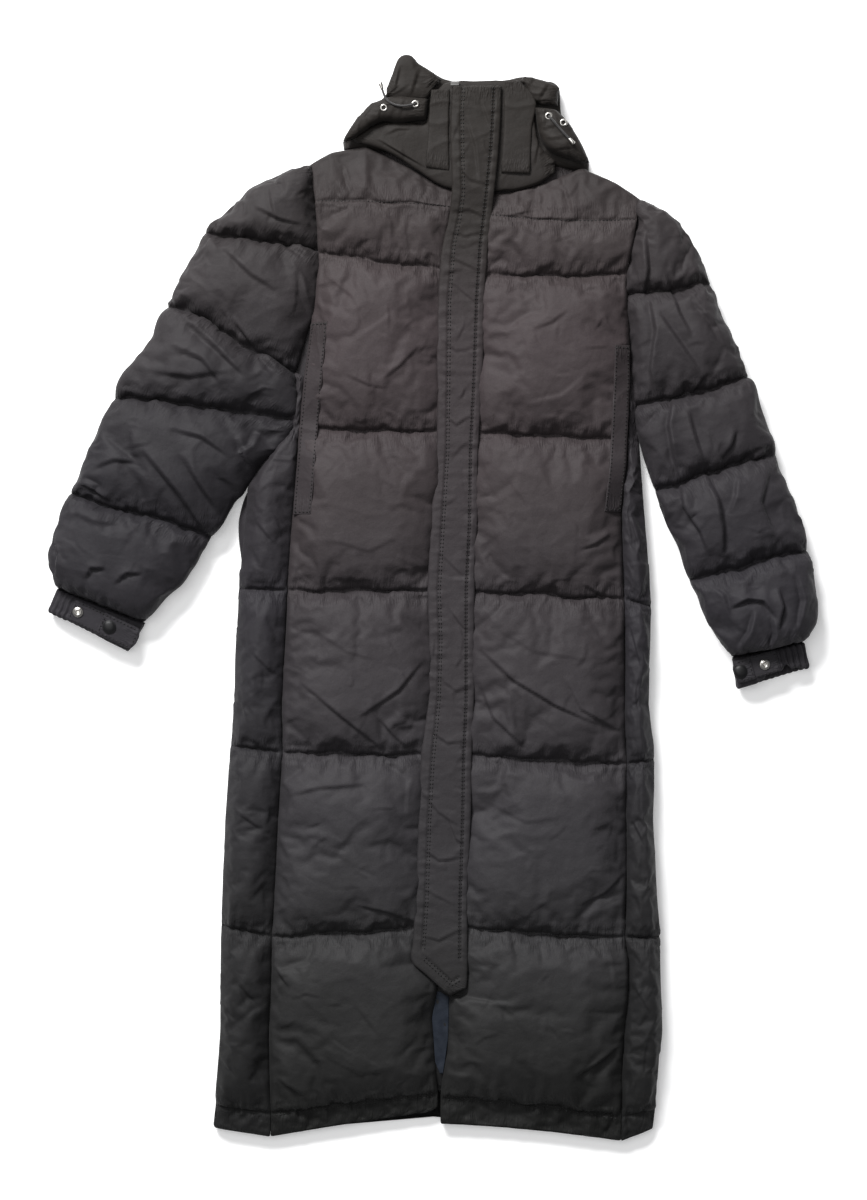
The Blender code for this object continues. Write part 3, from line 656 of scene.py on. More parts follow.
# A front's quilting lines: how far up each lies at its side-front seam, its middle and its zip edge, and
# the swell of the cell below.
FRONT_LINES = metres({
    "front_right": (
        (4590, 4570, 4500, 70), (4000, 3890, 3770, 230), (2000, 1950, 1950, 230), (110, 110, 110, 230),
        (-1760, -1780, -1780, 230), (-3880, -3830, -3750, 220), (-5930, -5800, -5700, 0),
    ),
    "front_left": (
        (4380, 4370, 4460, 70), (3770, 3740, 3770, 230), (1850, 1890, 1940, 230), (10, 60, 100, 230),
        (-1890, -1840, -1750, 230), (-3890, -3840, -3750, 220), (-5970, -5820, -5740, 0),
    ),
})
# Where each front's shoulder seam starts and where all end at the neck, and how far the hem's ends rise.
SHOULDER_AT = {"front_right": 0.498, "front_left": 0.460}
NECK_AT = 0.466
HEM_RISES = (0.006, 0.028)
TOP_CELL = 0.06
FOOT_CELL = 0.024
HEM_TOP = 0.0130
FOOT_CORNERS = (-0.1830, 0.2165)
HEM_STITCH_TOP = 0.0160
SHOULDER_TOP = 0.0235
YOKE_TOP = 0.0355
SHOULDER_SWELL = 0.004
SEAM_WANDER = 0.0032
CELL_UNEVEN = 0.16
FRONT_FULLNESS = 0.80
ZIP_POWER = 3.6
COLUMN_SHARE = 0.77
LUMPS = 0.0006
FLAP_LAP = 0.004
FRONT_CREASES = creases({
    "front_right": (
        (22, 45, -55, 252, -35, 268, -13, 291), (18, 45, -97, 258, -70, 246, -49, 243),
        (14, 30, -52, 192, -46, 168), (12, 35, -78, 428, -74, 380), (14, 35, -55, 446, -50, 398),
        (14, 30, -33, 436, -28, 405), (25, 39, -60, 474, -50, 452), (25, 39, -100, 500, -92, 470),
        (25, 39, 0, 478, -10, 455, -12, 430), (12, 60, -120, 372, -90, 348, -75, 320),
        (12, 70, -20, 350, -50, 325, -85, 300), (37, 60, -150, -94, -100, -135, -54, -172),
        (37, 55, -82, -135, -36, -104, -9, -71), (31, 50, -62, -132, -40, -158, -22, -172),
        (12, 70, -140, -30, -95, -60, -60, -70), (12, 80, -120, 70, -70, 55, -30, 75),
        (25, 66, -162, -225, -127, -216, -72, -212), (12, 40, -127, -258, -125, -285),
        (14, 45, -26, -205, -28, -246), (31, 66, -86, -350, -50, -358, -17, -372),
        (28, 44, -181, -420, -162, -445), (14, 50, -85, -465, -59, -500),
        (31, 44, -176, -552, -145, -571), (12, 80, -130, -520, -80, -545, -30, -535),
    ),
    "front_left": (
        (28, 39, 122, 488, 124, 460, 121, 435), (28, 44, 146, 494, 160, 462, 166, 430),
        (14, 35, 170, 486, 192, 452), (14, 30, 98, 470, 96, 448), (17, 45, 118, 310, 140, 318, 158, 332),
        (10, 80, 90, 345, 110, 290, 125, 240), (12, 70, 180, 260, 150, 235, 105, 225),
        (34, 50, 172, 58, 190, 64, 208, 76), (12, 80, 80, 150, 110, 110, 120, 60),
        (28, 44, 176, 18, 198, 6), (40, 60, 54, -54, 95, -92, 145, -122, 199, -146),
        (34, 55, 54, -90, 72, -135, 109, -170), (34, 55, 154, -88, 172, -125, 220, -153),
        (12, 80, 70, -30, 120, -60, 185, -70), (31, 60, 172, -350, 200, -338, 224, -314),
        (12, 80, 60, -230, 110, -255, 150, -250), (47, 55, 165, -548, 190, -535, 219, -513),
        (14, 40, 137, -488, 150, -505), (14, 40, 205, -400, 212, -450),
        (12, 80, 60, -450, 100, -480, 120, -520),
    ),
})
flap_outline = Outline("front_flap")


def stops(lines):
    """Rows down a quilted panel, as (cell, share of it): every quilting line, and the rows between them."""
    found = []
    for cell in range(len(lines) + 1):
        if cell == 0:
            depth = TOP_CELL
        elif cell == len(lines):
            depth = FOOT_CELL
        else:
            depth = abs(lines[cell - 1][1] - lines[cell][1])
        count = max(3, round(depth / STEP))
        found += [(cell, k / count) for k in range(count)]
    return found + [(len(lines), 1.0)]


def cell_levels(cell, share, lines):
    """The stitched height and the swell at a row."""
    rise = SHOULDER_SWELL if cell == 0 else lines[cell - 1][3]
    tops = [SHOULDER_TOP, YOKE_TOP, *[STITCHED_TOP] * (len(lines) - 2), HEM_STITCH_TOP, HEM_TOP]
    return mix(tops[cell], tops[cell + 1], share**3 if cell == 1 else share), rise


def front_piece(node):
    outline = Outline(node)
    lines = FRONT_LINES[node]
    rows = stops(lines)
    right = node == "front_right"
    columns = round((outline.high[0] - outline.low[0]) * COLUMN_SHARE / STEP) + 1
    edges = []
    for cell, share in rows:
        heights = []
        for end, highest, rise in zip((0, 2), (SHOULDER_AT[node], NECK_AT), HEM_RISES):
            top = lines[cell - 1][end] if cell else highest
            foot = lines[cell][end] if cell < len(lines) else outline.low[1] + rise
            heights.append(mix(top, foot, share))
        outer, inner = outline.sides(heights[0]), outline.sides(heights[1])
        flap = flap_outline.sides(heights[1])
        if heights[1] < flap_outline.low[1]:
            flap = (9.0, -9.0)
        if right:
            edges.append((outer[0], inner[1], min(flap[0] + FLAP_LAP, inner[1])))
        else:
            edges.append((outer[1], inner[0], max(flap[1] - FLAP_LAP, inner[0])))

    def line_at(index, u, x):
        if index < 0:
            return outline.ends(x)[1]
        if index >= len(lines):
            return outline.ends(min(max(x, FOOT_CORNERS[0]), FOOT_CORNERS[1]))[0]
        first, middle, last, _ = lines[index]
        bend = 4.0 * u * (1.0 - u)
        wander = SEAM_WANDER * bend * drift(x, 0.4 * index, 0.032, 8.0)
        return mix(first, last, u) + bend * (middle - (first + last) / 2.0) + wander

    def place(column, row):
        cell, share = rows[row]
        u = column / (columns - 1)
        outer, inner, flap = edges[row]
        x = mix(outer, inner, u)
        top, foot = line_at(cell - 1, u, x), line_at(cell, u, x)
        y = mix(top, foot, share)
        full = (x - outer) / (flap - outer)
        z, rise = cell_levels(cell, share, lines)
        if full > 1.0 and 0.46 > y > -0.45:
            z = UNDER_FLAP
        uneven = 1.0 + CELL_UNEVEN * drift(x, y, 0.09, 3.0)
        z += FRONT_FULLNESS * rise * uneven * swell(share, CELL_POWER) * swell(min(full, 1.0), ZIP_POWER)
        z += LUMPS * drift(x, y, 0.012, 5.0)
        distance = min(share * (top - foot), (1.0 - share) * (top - foot))
        if cell == 0:
            distance = (1.0 - share) * (top - foot)
        held = share in (0.0, 1.0) or column in (0, columns - 1) or full > 1.02
        return Vector((x, y, z)), held, max(0.0, distance)

    return grid_piece(f"{node}_cloth", columns, len(rows), place)


fronts = {node: front_piece(node) for node in ("front_right", "front_left")}


def front_lines(node):
    """A front's quilting lines, as (x, y) points from its side seam to the zip."""
    found = []
    outline = Outline(node)
    for first, middle, last, _ in FRONT_LINES[node]:
        outer, inner = outline.sides(first), outline.sides(last)
        start, end = (outer[0], inner[1]) if node == "front_right" else (outer[1], inner[0])
        u = np.linspace(0.0, 1.0, 24)
        y = mix(first, last, u) + 4.0 * u * (1.0 - u) * (middle - (first + last) / 2.0)
        found.append(np.stack([mix(start, end, u), y], axis=1))
    return found


@contextmanager
def edited(data):
    """A bmesh of mesh data, written back at the end."""
    mesh = bmesh.new()
    mesh.from_mesh(data)
    yield mesh
    mesh.to_mesh(data)
    mesh.free()


HEM_LOW = 0.0060
HEM_AT = -0.605


def above_back(y):
    """How high the back's upper side lies, which thins towards the hem."""
    return mix(HEM_LOW, BACK_TOP, min(max((y - HEM_AT) / 0.12, 0.0), 1.0))


def closed_under(piece):
    """Turns a piece's edges down to the back and closes it below."""
    with edited(piece.data) as mesh:
        rim = [edge for edge in mesh.edges if edge.is_boundary]
        turned = bmesh.ops.extrude_edge_only(mesh, edges=rim)["geom"]
        for part in turned:
            if isinstance(part, bmesh.types.BMVert):
                part.co.z = min(above_back(part.co.y), part.co.z)
        lower = [part for part in turned if isinstance(part, bmesh.types.BMEdge) and part.is_boundary]
        bmesh.ops.triangle_fill(mesh, edges=lower, use_beauty=False, use_dissolve=False)
        bmesh.ops.recalc_face_normals(mesh, faces=mesh.faces[:])


# Side panels.
# A narrow panel of the same down-filled cloth runs down each side from under the arm, quilted
# on the same lines as the front, and its outer edge turns round the side to the back.
# Its quilting lines and its foot: how far up each lies at its lower x and at its higher x.
SIDE_LINES = metres({
    "side_panel_right": (
        (2010, 2000), (130, 110), (-1680, -1760), (-3750, -3880), (-5840, -5930), (-6110, -6210),
    ),
    "side_panel_left": (
        (1830, 1850), (-70, 10), (-1840, -1890), (-3890, -3890), (-5890, -5970), (-6120, -6260),
    ),
})
SIDE_TOP = 0.262
SIDE_COLUMNS = 18
TURNED = 0.013
FULL_WIDTH = 0.035
SIDE_POWERS = (4.0, 2.8)
SIDE_SWELLS = (0.010, 0.014, 0.014, 0.015, 0.014, 0.0)
SIDE_CREASES = creases({
    "side_panel_right": (
        (24, 50, -200, 90, -175, 60), (24, 50, -205, -60, -180, -85), (24, 55, -228, -240, -195, -262),
        (21, 66, -228, -430, -195, -470),
    ),
    "side_panel_left": (
        (21, 44, 229, 100, 240, 60), (21, 44, 230, -30, 243, -80), (21, 50, 231, -250, 250, -290),
        (21, 50, 232, -440, 256, -480),
    ),
})
# How far each side panel reaches round the edge below it: (how far up, right edge, left edge).
ROLLED = metres((
    (-6120, -2500, 2580), (-5000, -2430, 2680), (-3800, -2410, 2645), (-2530, -2360, 2575),
    (-1680, -2300, 2585), (-1200, -2270, 2520), (0, -2220, 2550), (1300, -2100, 2450),
    (1640, -1880, 2435), (2000, -1660, 2410), (2620, -1590, 2390),
))


def side_piece(node):
    outline = Outline(node)
    lines = SIDE_LINES[node]
    right = node == "side_panel_right"
    rolled = np.array(ROLLED)
    rows = []
    for cell, (above, below) in enumerate(zip([(SIDE_TOP, SIDE_TOP), *lines], lines)):
        count = max(3, round((above[0] - below[0]) / STEP))
        rows += [(cell, k / count, above, below) for k in range(count)]
    rows.append((len(lines) - 1, 1.0, lines[-2], lines[-1]))

    def place(column, row):
        cell, share, above, below = rows[row]
        u = column / (SIDE_COLUMNS - 1)
        outer_y, inner_y = mix(above[0], below[0], share), mix(above[1], below[1], share)
        inner = outline.sides(inner_y)[1 if right else 0]
        rim = np.interp(outer_y, rolled[:, 0], rolled[:, 1 if right else 2])
        x = mix(rim, inner, u)
        y = mix(outer_y, inner_y, u)
        wide = abs(rim - inner)
        last = cell == len(lines) - 1
        stitched = mix(HEM_STITCH_TOP if last else STITCHED_TOP, HEM_TOP if last else STITCHED_TOP, share)
        if cell == len(lines) - 2:
            stitched = mix(STITCHED_TOP, HEM_STITCH_TOP, share)
        down = 0.40 * stitched * (1.0 - min(1.0, u * wide / TURNED)) ** 2
        rise = SIDE_SWELLS[cell] * min(1.0, wide / FULL_WIDTH)
        z = stitched - down + rise * swell(share, SIDE_POWERS[0]) * swell(mix(0.06, 1.0, u), SIDE_POWERS[1])
        distance = min(share, 1.0 - share) * abs(above[0] - below[0])
        held = share in (0.0, 1.0) or column in (0, SIDE_COLUMNS - 1) or row == 0
        return Vector((x, y, z)), held, distance

    return grid_piece(f"{node}_cloth", SIDE_COLUMNS, len(rows), place)


sides = {node: side_piece(node) for node in ("side_panel_right", "side_panel_left")}


# Back.
# One wide down-filled panel lies underneath, quilted across like the fronts; its edges turn up
# at both sides, where they show as a rounded rim that draws in at every quilting line.
def flowing(knots, rows, at):
    """The values of a table's rows at places between its knots, without a corner."""
    slopes = np.gradient(rows, knots, axis=0)
    index = np.clip(np.searchsorted(knots, at) - 1, 0, len(knots) - 2)
    span = knots[index + 1] - knots[index]
    t = ((at - knots[index]) / span)[:, None]
    span = span[:, None]
    first = (2.0 * t**3 - 3.0 * t**2 + 1.0) * rows[index] + (t**3 - 2.0 * t**2 + t) * span * slopes[index]
    last = (3.0 * t**2 - 2.0 * t**3) * rows[index + 1] + (t**3 - t**2) * span * slopes[index + 1]
    return first + last


RING_PLACES = 721


def ring(around, half_width, half_height, power):
    """Points round a flattened ring at equal spacing, as (across, up) from -1 to 1, over the top first."""
    turn = np.linspace(0.0, 2.0 * np.pi, RING_PLACES)
    across = -np.sign(np.cos(turn)) * np.abs(np.cos(turn)) ** (2.0 / power)
    up = np.sign(np.sin(turn)) * np.abs(np.sin(turn)) ** (2.0 / power)
    steps = np.hypot(np.diff(across) * half_width, np.diff(up) * half_height)
    gone = np.concatenate([[0.0], np.cumsum(steps)])
    at = np.linspace(0.0, gone[-1], around + 1)
    return np.interp(at, gone, across), np.interp(at, gone, up), at


def laid(rows, low=0.0, thick=None):
    """Rows for a loft that lies at one height, from both edges' points and, without thick, the thickness."""
    return [(*row[:4], low, low, row[4] if thick is None else thick) for row in rows]


# The share of a pad's height that lies below its widest line, and the least share left at a rounded end.
BELLY = 0.46
END_LEFT = 0.06


def loft(name, rows, around, power, ends, step=STEP, stitched=(), rise=0.0, pinch=0.0, hold=False):
    """A closed pad between two edges, as many points round as given, with both its ends rounded off.

    Each row is a point of one edge, a point of the other, the underside's height at each, and the thickness.
    It is sewn through at the stitched rows, swells by rise between them, and draws in by pinch at them. If it
    has to hold, its stitched rows and its underside keep still while the cloth settles.
    """
    rows = np.array(rows, dtype=float)
    knots = gone_along((rows[:, 0:2] + rows[:, 2:4]) / 2.0)
    sewn = [knots[0], *(knots[index] for index in stitched if 0 < index < len(rows) - 1), knots[-1]]
    at, share_at, gap_at = [], [], []
    for start, end in zip(sewn, sewn[1:]):
        count = max(3, round((end - start) / step))
        for k in range(count + (end == sewn[-1])):
            share = k / count
            at.append(mix(start, end, share))
            share_at.append(share)
            gap_at.append(min(share, 1.0 - share) * (end - start))
    for radius, base, sign in ((ends[0], knots[0], 1.0), (ends[1], knots[-1], -1.0)):
        for k in range(1, 5):
            if radius > 0.0:
                away = radius * (1.0 - math.cos(math.pi / 2.0 * k / 5.0))
                at.append(base + sign * away)
                first, last = away / (sewn[1] - sewn[0]), 1.0 - away / (sewn[-1] - sewn[-2])
                share_at.append(first if sign > 0.0 else last)
                gap_at.append(away)
    order = np.argsort(at)
    at, share_at, gap_at = (np.array(values)[order] for values in (at, share_at, gap_at))
    table = flowing(knots, rows, at)
    full = np.array([swell(share, CELL_POWER) for share in share_at]) if rise or pinch else np.zeros(len(at))
    mesh = bmesh.new()
    bmesh.ops.create_grid(mesh, x_segments=around, y_segments=len(at) - 1, size=1.0)
    data = data_of(mesh, name)
    flat = positions(data)
    column = np.rint((flat[:, 0] + 1.0) / 2.0 * around).astype(int)
    row = np.rint((flat[:, 1] + 1.0) / 2.0 * (len(at) - 1)).astype(int)
    points = np.empty((len(at), around + 1, 3))
    runs = np.empty((len(at), around + 1))
    tops = np.empty((len(at), around + 1))
    for index, (ax, ay, bx, by, az, bz, thick) in enumerate(table):
        a, b = np.array([ax, ay, az]), np.array([bx, by, bz])
        along = (b - a) / np.linalg.norm(b - a)
        a = a + along * pinch * (1.0 - full[index])
        b = b - along * pinch * (1.0 - full[index])
        height = thick + rise * full[index]
        for radius, distance in ((ends[0], at[index] - at[0]), (ends[1], at[-1] - at[index])):
            if radius > 0.0 and distance < radius:
                height *= max(END_LEFT, math.sqrt(1.0 - (1.0 - distance / radius) ** 2))
        wide = np.linalg.norm(b - a)
        across, up, along_ring = ring(around, wide / 2.0, height / 2.0, power)
        centre = a + (b - a) * ((across + 1.0) / 2.0)[:, None]
        lift = np.where(up > 0.0, BELLY + (1.0 - BELLY) * up, BELLY * (1.0 + up))
        centre[:, 2] += height * lift + (thick - min(height, thick)) * 0.4
        points[index], runs[index], tops[index] = centre, along_ring, up
    placed(data, points[row, column])
    for attribute, values in (("seam", gap_at[row]), ("run", runs[row, column]), ("up", tops[row, column])):
        data.attributes.new(attribute, "FLOAT", "POINT").data.foreach_set("value", values)
    with edited(data) as mesh:
        bmesh.ops.remove_doubles(mesh, verts=mesh.verts[:], dist=ON_LINE)
        bmesh.ops.holes_fill(mesh, edges=[edge for edge in mesh.edges if edge.is_boundary], sides=0)
        bmesh.ops.recalc_face_normals(mesh, faces=mesh.faces[:])
    piece = linked(name, data)
    if hold:
        still = np.flatnonzero((measure(data, "seam") < ON_LINE) | (measure(data, "up") < 0.05))
        piece.vertex_groups.new(name="held").add(still.tolist(), 1.0, "REPLACE")
    return piece


# Each row of the back: its right edge, its left edge, and its thickness. Some rows are quilting lines.
BACK_ROWS = metres((
    (-1400, 4990, 2420, 4600, 160), (-1320, 4590, 2370, 4380, 180), (-1420, 4000, 2400, 3770, 180),
    (-1520, 3200, 2440, 2930, 180), (-1620, 2620, 2440, 2550, 180), (-1640, 2010, 2410, 1830, 180),
    (-1830, 1640, 2400, 1550, 180), (-2070, 1350, 2420, 1310, 180), (-2190, 130, 2520, -70, 180),
    (-2240, -1170, 2490, -1260, 180), (-2270, -1680, 2560, -1840, 180), (-2330, -2530, 2550, -2530, 180),
    (-2400, -3280, 2600, -3280, 180), (-2380, -3750, 2620, -3890, 180), (-2400, -5000, 2660, -5000, 180),
    (-2430, -5460, 2640, -5400, 160), (-2470, -5840, 2580, -5890, 100), (-2480, -6110, 2560, -6120, 70),
))
BACK_SEAMS = (0, 1, 2, 5, 8, 10, 13, 16, 17)
# How far the back's upper edge and its hem lie from a straight line, from right to left.
NECK_BOW = metres((
    (-1430, 0), (-1170, 180), (-930, 300), (500, 340), (1470, 360), (1950, 260), (2450, 0),
))
HEM_BOW = metres((
    (-2510, 30), (-1850, -60), (-800, 260), (100, 440), (300, 240), (1000, 120), (2210, -90), (2590, 30),
))
NECK_REACH = 0.055
HEM_FROM = -0.54
HEM_REACH = 0.07

back = loft(
    "back_cloth",
    laid(BACK_ROWS),
    around=100,
    power=5.0,
    ends=(0.004, 0.003),
    step=0.0125,
    stitched=BACK_SEAMS,
    pinch=0.004,
)
points = positions(back.data)
from_neck = 0.500 - points[:, 1] - 0.10 * (points[:, 0] + 0.143)
neck = np.clip(1.0 - from_neck / NECK_REACH, 0.0, 1.0) ** 1.5
foot = np.clip((HEM_FROM - points[:, 1]) / HEM_REACH, 0.0, 1.0) ** 1.5
points[:, 1] += neck * np.interp(points[:, 0], *np.array(NECK_BOW).T)
points[:, 1] += foot * np.interp(points[:, 0], *np.array(HEM_BOW).T)
placed(back.data, points)


# Sleeves.
# Each sleeve is a down-filled tube, quilted round at uneven slants, lying half folded beside the
# body; it is sewn into the armhole and gathered into its cuff.
SLEEVES = metres({
    "sleeve_right": (
        (-1400, 5030, -1340, 4960), (-1600, 4975, -1325, 4860), (-1930, 4820, -1310, 4700),
        (-2320, 4510, -1295, 4400), (-2600, 4220, -1260, 4040), (-2850, 3790, -1330, 3380),
        (-3050, 3440, -1540, 2620), (-3360, 2850, -1520, 2370), (-3680, 2330, -1530, 2080),
        (-3900, 1790, -1740, 1760), (-4070, 1450, -2060, 1390), (-4190, 1240, -2500, 750),
        (-4300, 920, -2710, 420), (-4400, 550, -2930, 130), (-4310, 140, -3300, -260),
    ),
    "sleeve_left": (
        (2430, 4640, 2370, 4560), (2580, 4560, 2350, 4460), (2830, 4380, 2330, 4270),
        (3060, 4020, 2265, 3960), (3250, 3630, 2250, 3520), (3470, 3070, 2305, 2930),
        (3710, 2550, 2345, 2240), (3880, 2060, 2440, 1720), (4000, 1680, 2590, 1270),
        (4200, 1120, 2780, 760), (4380, 610, 2990, 240), (4430, 170, 3130, -100),
        (4460, -230, 3300, -430), (4320, -480, 3500, -660),
    ),
})
SLEEVE_CREASES = creases({
    "sleeve_right": (
        (80, 84, -330, 172, -288, 121, -254, 71), (73, 78, -286, 168, -264, 131, -243, 100),
        (53, 59, -343, 196, -341, 164), (46, 72, -300, 196, -262, 186, -232, 165),
        (59, 59, -222, 190, -214, 166, -205, 152), (53, 59, -196, 202, -206, 178, -222, 168),
        (56, 78, -288, 327, -243, 286, -213, 256), (63, 78, -228, 324, -205, 294, -170, 256),
        (59, 65, -150, 376, -146, 350, -136, 326), (53, 59, -176, 418, -156, 404, -138, 392),
        (39, 91, -240, 405, -205, 372, -172, 352), (39, 65, -200, 450, -172, 436, -145, 430),
        (32, 59, -185, 474, -178, 435), (39, 84, -322, 262, -275, 256, -230, 262),
        (46, 72, -300, 292, -262, 276, -240, 248), (59, 59, -402, 134, -386, 126, -368, 114),
        (35, 78, -388, 150, -362, 160, -340, 158), (63, 59, -432, 75, -428, 50, -431, 26),
        (56, 52, -395, 24, -388, 36, -372, 36), (46, 52, -362, 18, -348, 30, -330, 30),
        (28, 91, -410, 100, -385, 88, -350, 86),
    ),
    "sleeve_left": (
        (63, 72, 246, 345, 251, 380, 247, 424), (80, 84, 252, 345, 258, 310, 252, 265, 258, 232),
        (53, 72, 300, 302, 286, 330, 272, 372), (59, 78, 310, 262, 290, 290, 262, 330),
        (42, 78, 300, 345, 322, 320, 340, 288), (46, 65, 272, 232, 300, 238, 320, 262),
        (80, 78, 278, 234, 273, 200, 279, 165, 288, 138), (70, 72, 315, 158, 306, 182, 296, 218),
        (49, 59, 336, 162, 346, 178, 352, 196), (46, 59, 386, 176, 372, 166, 360, 156),
        (70, 72, 287, 134, 291, 108, 309, 79, 320, 50), (84, 91, 338, 50, 337, 82, 331, 115, 316, 148),
        (42, 65, 352, 142, 349, 118, 342, 100), (39, 78, 396, 74, 380, 112, 392, 152),
        (70, 59, 344, -10, 364, 0, 382, -2, 398, -22), (77, 59, 400, -34, 406, -8, 400, 14),
        (59, 59, 372, -12, 366, -36, 352, -58), (59, 59, 420, 30, 428, 0, 422, -34),
        (63, 46, 392, -20, 396, -40, 390, -56), (42, 65, 346, -22, 338, 6, 320, 20),
    ),
})
SLEEVE_SEAMS = {"sleeve_right": (0, 4, 6, 8, 11, 14), "sleeve_left": (0, 4, 6, 8, 10, 13)}
SLEEVE_CLOTHS = {"sleeve_right": SHELL_SLEEVE, "sleeve_left": SHELL_SIDE}
SLEEVE_THICKNESS = 0.025
ARMHOLES = {"sleeve_right": 0.165, "sleeve_left": 0.255}
SLEEVE_SWELL = 0.0185
# How far the sleeves' quilting lines wander up and across, and over what length they start to.
WANDER_UP = ((0.0065, 0.048, 2.0), (0.0030, 0.020, 4.0))
WANDER_ACROSS = (0.0040, 0.040, 9.0)
FREE_AFTER = 0.05
sleeves = {}
for node, rows in SLEEVES.items():
    sleeves[node] = loft(
        f"{node}_cloth",
        laid(rows, thick=SLEEVE_THICKNESS),
        around=78,
        power=2.7,
        ends=(0.0, 0.004),
        stitched=SLEEVE_SEAMS[node],
        rise=SLEEVE_SWELL,
        pinch=0.0015,
        hold=True,
    )
    points = positions(sleeves[node].data)
    flat = points * np.array([1.0, 1.0, 0.0])
    free = np.clip((np.abs(points[:, 0]) - ARMHOLES[node]) / FREE_AFTER, 0.0, 1.0)
    free *= np.clip(beside(points, (rows[-1][0:2], rows[-1][2:4]))[0] / FREE_AFTER, 0.0, 1.0)
    points[:, 1] += sum(most * drifts(flat, size, seed) for most, size, seed in WANDER_UP) * free
    most, size, seed = WANDER_ACROSS
    points[:, 0] += most * drifts(flat, size, seed) * free
    placed(sleeves[node].data, points)

settle(*fronts.values(), *sides.values(), *sleeves.values())

PUCKER = 0.0013
RUMPLE = 0.0003
for seed, (node, piece) in enumerate(fronts.items(), 1):
    smoothed(piece)
    wear = {"pucker": PUCKER, "dent": 0.0005, "rumple": RUMPLE, "worn": 110, "seed": seed}
    wrinkled(piece, FRONT_CREASES[node], front_lines(node)[1:], **wear)
    closed_under(piece)
    finished(piece, SHELL, "shell_cloth", node)
for seed, (node, piece) in enumerate(sides.items(), 3):
    smoothed(piece)
    edges = [(Outline(node).sides(0.5 * (a + b)), a, b) for a, b in SIDE_LINES[node][:-1]]
    across = [((low, a if low < 0.0 else b), (high, b if low < 0.0 else a)) for (low, high), a, b in edges]
    wrinkled(piece, SIDE_CREASES[node], across, pucker=PUCKER, rumple=RUMPLE, worn=40, seed=seed)
    closed_under(piece)
    finished(piece, SHELL_SIDE, "shell_cloth", node)
for seed, (node, piece) in enumerate(sleeves.items(), 5):
    smoothed(piece)
    across = [(SLEEVES[node][index][:2], SLEEVES[node][index][2:]) for index in SLEEVE_SEAMS[node]]
    wrinkled(piece, SLEEVE_CREASES[node], across, pucker=0.0012, dent=0.0012, worn=80, seed=seed)
    finished(piece, SLEEVE_CLOTHS[node], "shell_cloth", node)
smoothed(back)
wrinkled(back, pucker=PUCKER, dent=0.0008, seed=8.0, facing=-0.6)
finished(back, SHELL_SIDE, "shell_cloth", "back")


def surface(*pieces):
    """What to look down on: the pieces' faces together."""
    points, faces = [], []
    for piece in pieces:
        base = len(points)
        points += [vert.co.copy() for vert in piece.data.vertices]
        faces += [[base + index for index in face.vertices] for face in piece.data.polygons]
    return BVHTree.FromPolygons(points, faces)


def height(tree, x, y, fallback=0.0):
    found = tree.ray_cast(Vector((x, y, 0.2)), Vector((0.0, 0.0, -1.0)))[0]
    return found.z if found else fallback


# Flap over the zip.
# A padded placket of the shell cloth covers the zip from the collar down to its pointed foot;
# two rows of stitches run down it near each edge, and it wanders and folds with the cloth below.
# Each row: its right edge, its left edge, and the height of its underside.
FLAP_ROWS = metres((
    (255, 5910, 830, 5910, 346), (235, 5640, 820, 5640, 346), (240, 5170, 790, 5170, 346),
    (250, 4670, 740, 4670, 340), (210, 4400, 710, 4400, 300), (140, 4080, 670, 4080, 285),
    (90, 3450, 630, 3450, 285), (80, 2530, 600, 2530, 285), (70, 1720, 560, 1720, 285),
    (20, 920, 550, 920, 285), (-30, 110, 510, 110, 285), (-10, -460, 510, -460, 285),
    (-30, -1150, 510, -1150, 285), (-100, -1840, 480, -1840, 285), (-140, -2530, 470, -2530, 285),
    (-170, -3450, 440, -3450, 285), (-205, -3980, 432, -4140, 285), (-216, -4130, 430, -4270, 285),
    (-196, -4180, 428, -4300, 285), (-100, -4262, 424, -4350, 285), (-10, -4340, 420, -4400, 285),
    (230, -4560, 410, -4470, 285),
))
FLAP_FOOT_SEAMS = metres((
    ((-75, -4090), (60, -4215), (250, -4390), (330, -4340)),
    ((-95, -4115), (40, -4240), (248, -4430), (350, -4370)),
))
FLAP_CREASES = creases((
    (16, 50, 40, 560, 52, 520, 56, 480), (14, 45, 58, 575, 70, 540), (16, 40, 30, 500, 46, 482, 70, 476),
    (14, 40, 12, 300, 30, 286, 52, 290), (18, 40, 22, -10, 36, -30, 47, -36),
    (18, 40, -1, -150, 20, -165, 44, -162), (22, 40, -10, -285, 10, -300, 42, -296),
    (20, 40, 20, -250, 30, -276, 42, -284), (18, 40, -14, -385, 10, -392, 38, -378),
    (16, 35, 24, 446, 45, 448, 68, 438), (14, 35, 20, 425, 40, 418, 66, 424),
    (14, 40, 16, 398, 36, 388, 62, 376), (14, 40, 26, 364, 55, 340), (18, 35, 14, 216, 30, 201, 50, 214),
    (14, 45, 38, 150, 50, 95), (12, 45, 4, 60, 46, 20), (12, 40, -2, -80, 30, -105, 48, -100),
    (16, 45, -12, -219, 10, -245, 36, -262), (12, 45, -14, -330, 30, -352),
))
FLAP_THICKNESS = 0.0068
# How far each line of stitches is from the flap's right edge or, where negative, from its left edge.
FLAP_SEAMS = (0.0120, 0.0145, -0.0085, -0.0110)
FLAP_FOOT_ROWS = 5
FLAP_FOLD = 0.0018
GROOVE = (0.0013, 0.0014)
flap = loft(
    "front_flap_cloth",
    [(ax, ay, bx, by, low, low, FLAP_THICKNESS) for ax, ay, bx, by, low in FLAP_ROWS],
    around=48,
    power=4.5,
    ends=(0.003, 0.004),
    step=0.0041,
)
smoothed(flap)
flap_lines = []
for inset in FLAP_SEAMS:
    line = []
    for ax, ay, bx, by, _ in FLAP_ROWS[:-FLAP_FOOT_ROWS]:
        a, b = Vector((ax, ay)), Vector((bx, by))
        line.append(tuple((a if inset > 0.0 else b) + (b - a).normalized() * inset))
    flap_lines.append(line)
flap_lines += FLAP_FOOT_SEAMS
wrinkled(flap, FLAP_CREASES, worn=40, seed=9.0)
points = positions(flap.data)
